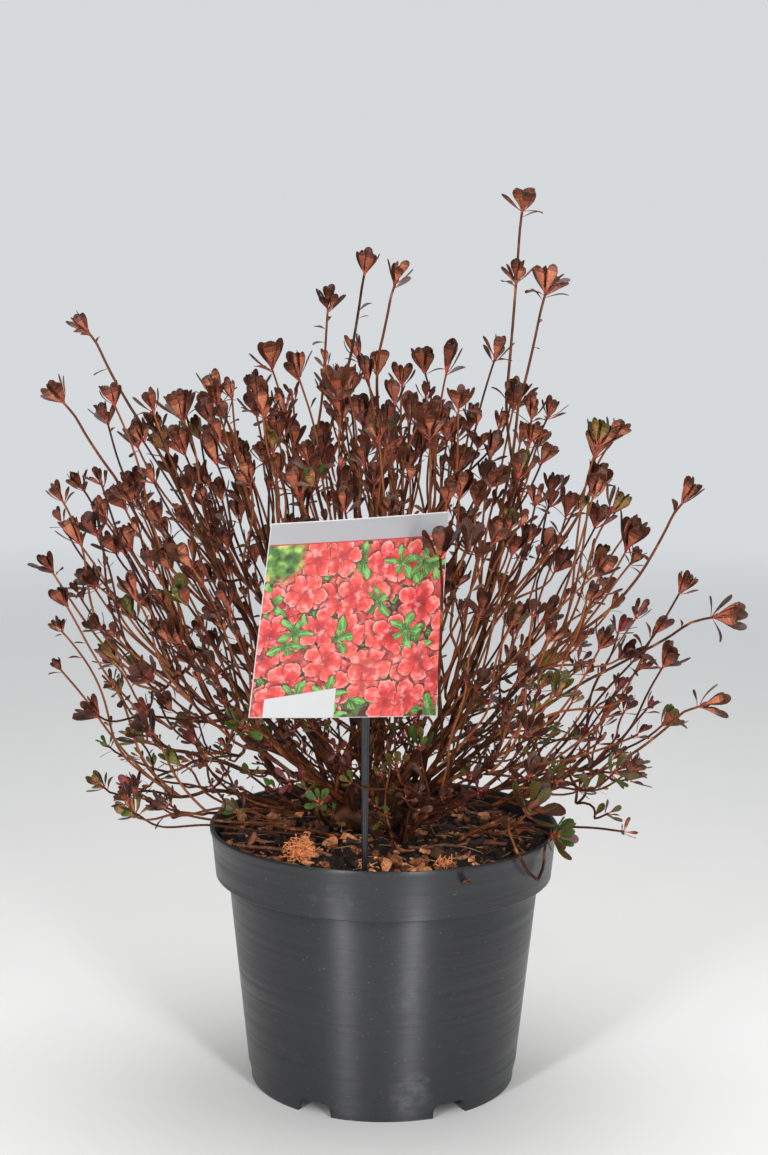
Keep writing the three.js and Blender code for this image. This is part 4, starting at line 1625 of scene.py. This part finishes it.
def add_leaves(heap, places, axes, sides, lengths, lean, bend, curl, fold, width):
    """Closed leaves, all at once: each starts at a place beside its axis and leans out from it.

    lean is the angle from the axis at the leaf's foot, bend is what it turns through by its tip
    and curl is what its last third turns through on top. fold is how far the halves lift from
    the midrib, and width is a share of the length.
    """
    count = len(places)
    places, axes, sides = (np.asarray(a, float) for a in (places, axes, sides))
    shape = (lengths, lean, bend, curl, fold, width)
    lengths, lean, bend, curl, fold, width = (np.broadcast_to(np.asarray(a, float), count) for a in shape)
    sides = sides - axes * np.sum(sides * axes, axis=1, keepdims=True)
    sides /= np.linalg.norm(sides, axis=1, keepdims=True)
    across = np.cross(axes, sides)
    late = np.clip((LEAF_STATIONS - 0.66) / 0.34, 0, 1)
    angle = np.radians(lean[:, None] + bend[:, None] * LEAF_STATIONS + curl[:, None] * late)
    cos, sin = np.cos(angle)[..., None], np.sin(angle)[..., None]
    ways = cos * axes[:, None] + sin * sides[:, None]
    uppers = sin * axes[:, None] - cos * sides[:, None]
    steps = np.diff(LEAF_STATIONS, prepend=0)[None, :, None] * lengths[:, None, None]
    line = places[:, None] + np.cumsum(ways * steps, axis=1)
    half = LEAF_WIDTHS * (width * lengths / 2)[:, None]
    lift = np.radians(fold)[:, None]
    edge = (half * np.cos(lift))[..., None] * across[:, None] + (half * np.sin(lift))[..., None] * uppers
    other_edge = edge - 2 * (half * np.cos(lift))[..., None] * across[:, None]
    thick = (LEAF_THICK * lengths / 2)[:, None, None] * uppers
    within = 1 - LEAF_MARGIN
    # six corners at each station: a margin, the midrib above, the other margin and three below
    rows = np.stack(
        [
            line + edge,
            line + thick,
            line + other_edge,
            line + within * other_edge - thick,
            line - thick,
            line + within * edge - thick,
        ],
        axis=2,
    )
    stations, ring = len(LEAF_STATIONS), 6
    base = (np.arange(count) * stations * ring)[:, None, None, None]
    row = (np.arange(stations - 1) * ring)[None, :, None, None]
    quads = [[i, (i + 1) % ring, ring + (i + 1) % ring, ring + i] for i in range(ring)]
    faces = base + row + np.array(quads)[None, None]
    last = ring * (stations - 1)
    low_cap = [[0, 5, 4, 1], [1, 4, 3, 2]]
    high_cap = [[last, last + 1, last + 4, last + 5], [last + 1, last + 2, last + 3, last + 4]]
    caps = base[:, 0] + np.array([low_cap + high_cap])
    # slot 0 is the upper face and the margins, 1 the lower face, 2 the stalk, 3 the lower tip
    slots = np.tile([0, 0, 0, 1, 1, 0], (count, stations - 1, 1))
    slots[:, 0] = 2
    slots[:, -2, 3:5] = 3
    slots[:, -1] = 0
    # every other leaf has a longer dark tip
    slots[::2, -3, 3:5] = 3
    slots[::2, -2] = 0
    heap.add(
        rows.reshape(-1, 3),
        np.concatenate([faces.reshape(-1, 4), caps.reshape(-1, 4)]),
        np.concatenate([slots.ravel(), np.tile([2, 2, 0, 0], count)]),
    )


def add_bud(heap, place, axis, length):
    """A pointed winter bud."""
    shares = np.array([0.0, 0.25, 0.5, 0.75, 1.0])
    radii = length * np.array([0.14, 0.26, 0.27, 0.18, 0.02])
    add_tube(heap, place + shares[:, None] * axis * length, radii, 6)


OPEN_LOW = 19  # how much further, in degrees, the lowest whorls open
LOW_TO_HIGH = (0.24, 0.36)  # the heights between which whorls change from low to high ones
FULL_SIZE = 0.75  # larger whorls have all their leaves
BUD_SHARE = 0.5  # how many of those have a bud
SPREAD_SHARES = (0.42, 0.36, 0.22)  # how many whorls have no, one or two leaves that spread
WHORL_RINGS = (
    # (its lengths, lean, bend and curl, the width as a share of the length, its height)
    ((0.74, 0.94), (9, 22), (-14, 6), (-18, 14), 0.37, 0.5 * MM),
    ((0.84, 1.08), (34, 60), (-42, -10), (-22, 16), 0.40, -1.4 * MM),
    ((0.72, 1.00), (44, 72), (-5, 40), (-5, 25), 0.41, -4 * MM),
)


def whorl_leaves(place, axis, size):
    """The leaves of one whorl: an upright inner cup, an outer cup and sometimes a few that spread."""
    side = unit(np.cross(axis, UP + 0.01))
    other = np.cross(axis, side)
    open_by = grower.normal(0, 7) + OPEN_LOW * np.interp(place[2], LOW_TO_HIGH, (1, 0))
    broad = np.interp(place[2], LOW_TO_HIGH, (0.93, 1.0)) * grower.uniform(0.88, 1.12)
    inner = grower.integers(3, 6) if size > FULL_SIZE else 2
    outer = grower.integers(4, 7) if size > FULL_SIZE else grower.integers(3, 5)
    spread = grower.choice([0, 1, 2], p=SPREAD_SHARES)
    turn = grower.uniform(0, 2 * np.pi)
    index = 0
    for count, ring in zip((inner, outer, spread), WHORL_RINGS):
        lengths, leans, bends, curls, width, height = ring
        for _ in range(count):
            angle = turn + index * GOLDEN_TURN + grower.normal(0, 0.14)
            out = math.cos(angle) * side + math.sin(angle) * other
            foot = place + axis * (height + grower.normal(0, 1.1 * MM)) + out * TWIG_RADIUS * 0.6
            length = LEAF_LENGTH * size * grower.uniform(*lengths)
            lean, bend = grower.uniform(*leans) + open_by, grower.uniform(*bends)
            curl, fold = grower.uniform(*curls), grower.uniform(2, 16)
            leaf_width = width * broad * grower.uniform(0.86, 1.2)
            yield foot, axis, out, length, lean, bend, curl, fold, leaf_width
            index += 1


def make_foliage():
    """All whorls and single leaves, dealt out by tint."""
    batches = {tint: [] for tint in TINTS}
    buds = Heap()
    for place, axis, size, tint in sprays:
        for leaf in whorl_leaves(place, axis, size):
            kin = str(grower.choice(KIN[tint])) if grower.random() < KIN_SHARE else tint
            batches[kin].append(leaf)
        if size > FULL_SIZE and grower.random() < BUD_SHARE:
            add_bud(buds, place - axis * MM, axis, grower.uniform(7, 11) * MM * size)
    for place, axis, out, length, tint in single_leaves:
        lean, bend = grower.uniform(35, 85), grower.uniform(-20, 35)
        batches[tint].append((place, axis, out, length, lean, bend, 10, grower.uniform(8, 25), 0.44))
    masses = ["mass_" + name for name in MASS_NAMES]
    tufts = ["tuft_" + name for name in LEADER_NAMES]
    fine, deep = LEAF_SPOTS
    stalk = mottled("leaf_stalk", STALK_TINT, 0.5, 0.25, fine, deep / 2)
    for tint, batch in batches.items():
        heap = Heap()
        add_leaves(heap, *zip(*batch))
        upper, lower, lower_tip = TINTS[tint]
        materials = [
            mottled(f"leaf_{tint}_upper", upper, 0.28, 0.20, fine, deep),
            mottled(f"leaf_{tint}_lower", lower, 0.42, 0.18, fine, deep),
            stalk,
            mottled(f"leaf_{tint}_lower_tip", lower_tip, 0.38, 0.24, fine, deep),
        ]
        heap.made(f"leaves_{tint}", materials, "foliage", masses + tufts, 50)
    scales = mottled("bud_scales", (0.16, 0.05, 0.03), 0.5, 0.4, 700, 0.0004, 0.5, 1.5)
    buds.made("winter_buds", [scales], "foliage", masses, 60)


def make_crown():
    """All growth: the order matters, as later shoots start from earlier stems."""
    tips = scatter_tips()
    foot_middle = np.array(middle_of("stem_foot"))
    for mass in MASSES:
        grow_mass(mass, tips[mass.name], foot_middle)
    for name in LEADER_NAMES:
        grow_leader(name)
    grow_outline_shoots()
    grow_inner_sprays()
    grow_low_sprays(foot_middle)
    grow_strays()


# ---- the woody foot and the wood ----------------------------------------------------------

STUBS = 17
BURR_SIZE = 9 * MM
BURR_HEIGHT = 6 * MM


def foot_stubs(centre, half):
    """Short dead stubs of old stems, cut off around the foot. They are part of the old wood."""
    for index in range(STUBS):
        turn = index * GOLDEN_TURN
        level = np.array([math.cos(turn), math.sin(turn), 0])
        start = np.array(centre) + level * half.x * 0.7 + UP * half.z * grower.uniform(0.2, 0.8)
        way = unit(level * grower.uniform(0.4, 1.0) + UP)
        end = start + way * grower.uniform(12, 30) * MM
        points = bent_path(start, unit(level + 0.4 * UP), end, way, 4 * MM)
        add_stem(points, np.full(len(points), grower.uniform(1.8, 3.4) * MM), 0.0)


def make_foot():
    """The gnarled foot: a ball swollen into lobes, with burrs, that the boughs come out of."""
    low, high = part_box("stem_foot")
    centre = (low + high) / 2
    half = (high - low) / 2
    ball = {"segments": 48, "ring_count": 24, "radius": 1, "location": centre}
    foot = added(bpy.ops.mesh.primitive_uv_sphere_add, **ball)
    foot.scale = (half.x * 0.84, half.y * 0.84, half.z * 1.4)
    bpy.ops.object.transform_apply(location=False, scale=True)
    for vertex in foot.data.vertices:
        angle = math.atan2(vertex.co.y, vertex.co.x)
        rise = vertex.co.z / half.z
        lobes = 1 + 0.10 * math.cos(5 * angle) + 0.07 * math.cos(9 * angle + 4 * rise)
        narrow = 1 - 0.30 * max(rise, 0)
        vertex.co.x *= lobes * narrow
        vertex.co.y *= lobes * narrow
        vertex.co.z = min(vertex.co.z, half.z * 0.98)
    clouds = bpy.data.textures.new("burrs", "CLOUDS")
    clouds.noise_scale = BURR_SIZE
    with_modifier(foot, "SUBSURF", levels=1, render_levels=1)
    with_modifier(foot, "DISPLACE", texture=clouds, strength=BURR_HEIGHT, texture_coords="LOCAL")
    settle(foot, "woody_foot", 60)
    grain = foot.data.attributes.new("grain", "FLOAT_VECTOR", "POINT")
    for vertex in foot.data.vertices:
        grain.data[vertex.index].vector = vertex.co
    foot_stubs(centre, half)
    paint(foot, bark("foot_bark", 0.5))
    placed(foot, ["stem_foot"])


def make_wood():
    """All the stems, twigs and shoots that have grown, each heap with its two barks."""
    old, brown, young, dusky = (bark(f"{age}_bark") for age in ("old", "brown", "young", "dusky"))
    boughs = ["bough_" + name for name in MASS_NAMES]
    leaders = ["shoot_" + name for name in LEADER_NAMES]
    # In each heap the darker bark, old or dusky, is painted shade where it is dealt at random, low down
    # or near the axis; on thick stems old bark is also the old wood's own.
    stems.made("stems_old", [old, brown], "bark", boughs, 60)
    twigs.made("twigs_brown", [brown, old], "bark", boughs, 60)
    shoots.made("shoots_young", [young, dusky], "shoot", leaders, 60)
    shaded.made("twigs_low", [brown, dusky], "shoot", leaders, 60)


# ---- the scene ----------------------------------------------------------------------------

FLOOR_SIZE = 12
FLOOR_FADE = 5.0  # the distance that its fade is a share of


def make_floor():
    """A pale floor that fades out far away. It is part of the stage, not of the object."""
    floor = added(bpy.ops.mesh.primitive_plane_add, size=FLOOR_SIZE)
    floor.name = "floor"
    finish = Finish("floor", (0.70, 0.705, 0.705), 0.6)
    far = finish.add("VectorMath", ("Vector", finish.places()), operation="LENGTH")
    share = finish.maths("DIVIDE", far.outputs["Value"], FLOOR_FADE)
    finish.drive("Alpha", finish.ramp(share, (0.12, 1.0), (0.6, 0.0)))
    paint(floor, finish.material)


make_camera()
make_studio()
make_floor()
make_pot()
make_compost()
make_crumbs()
make_chips()
make_fibres()
make_fallen()
make_card()
make_stick()
make_foot()
make_crown()
make_foliage()
make_wood()
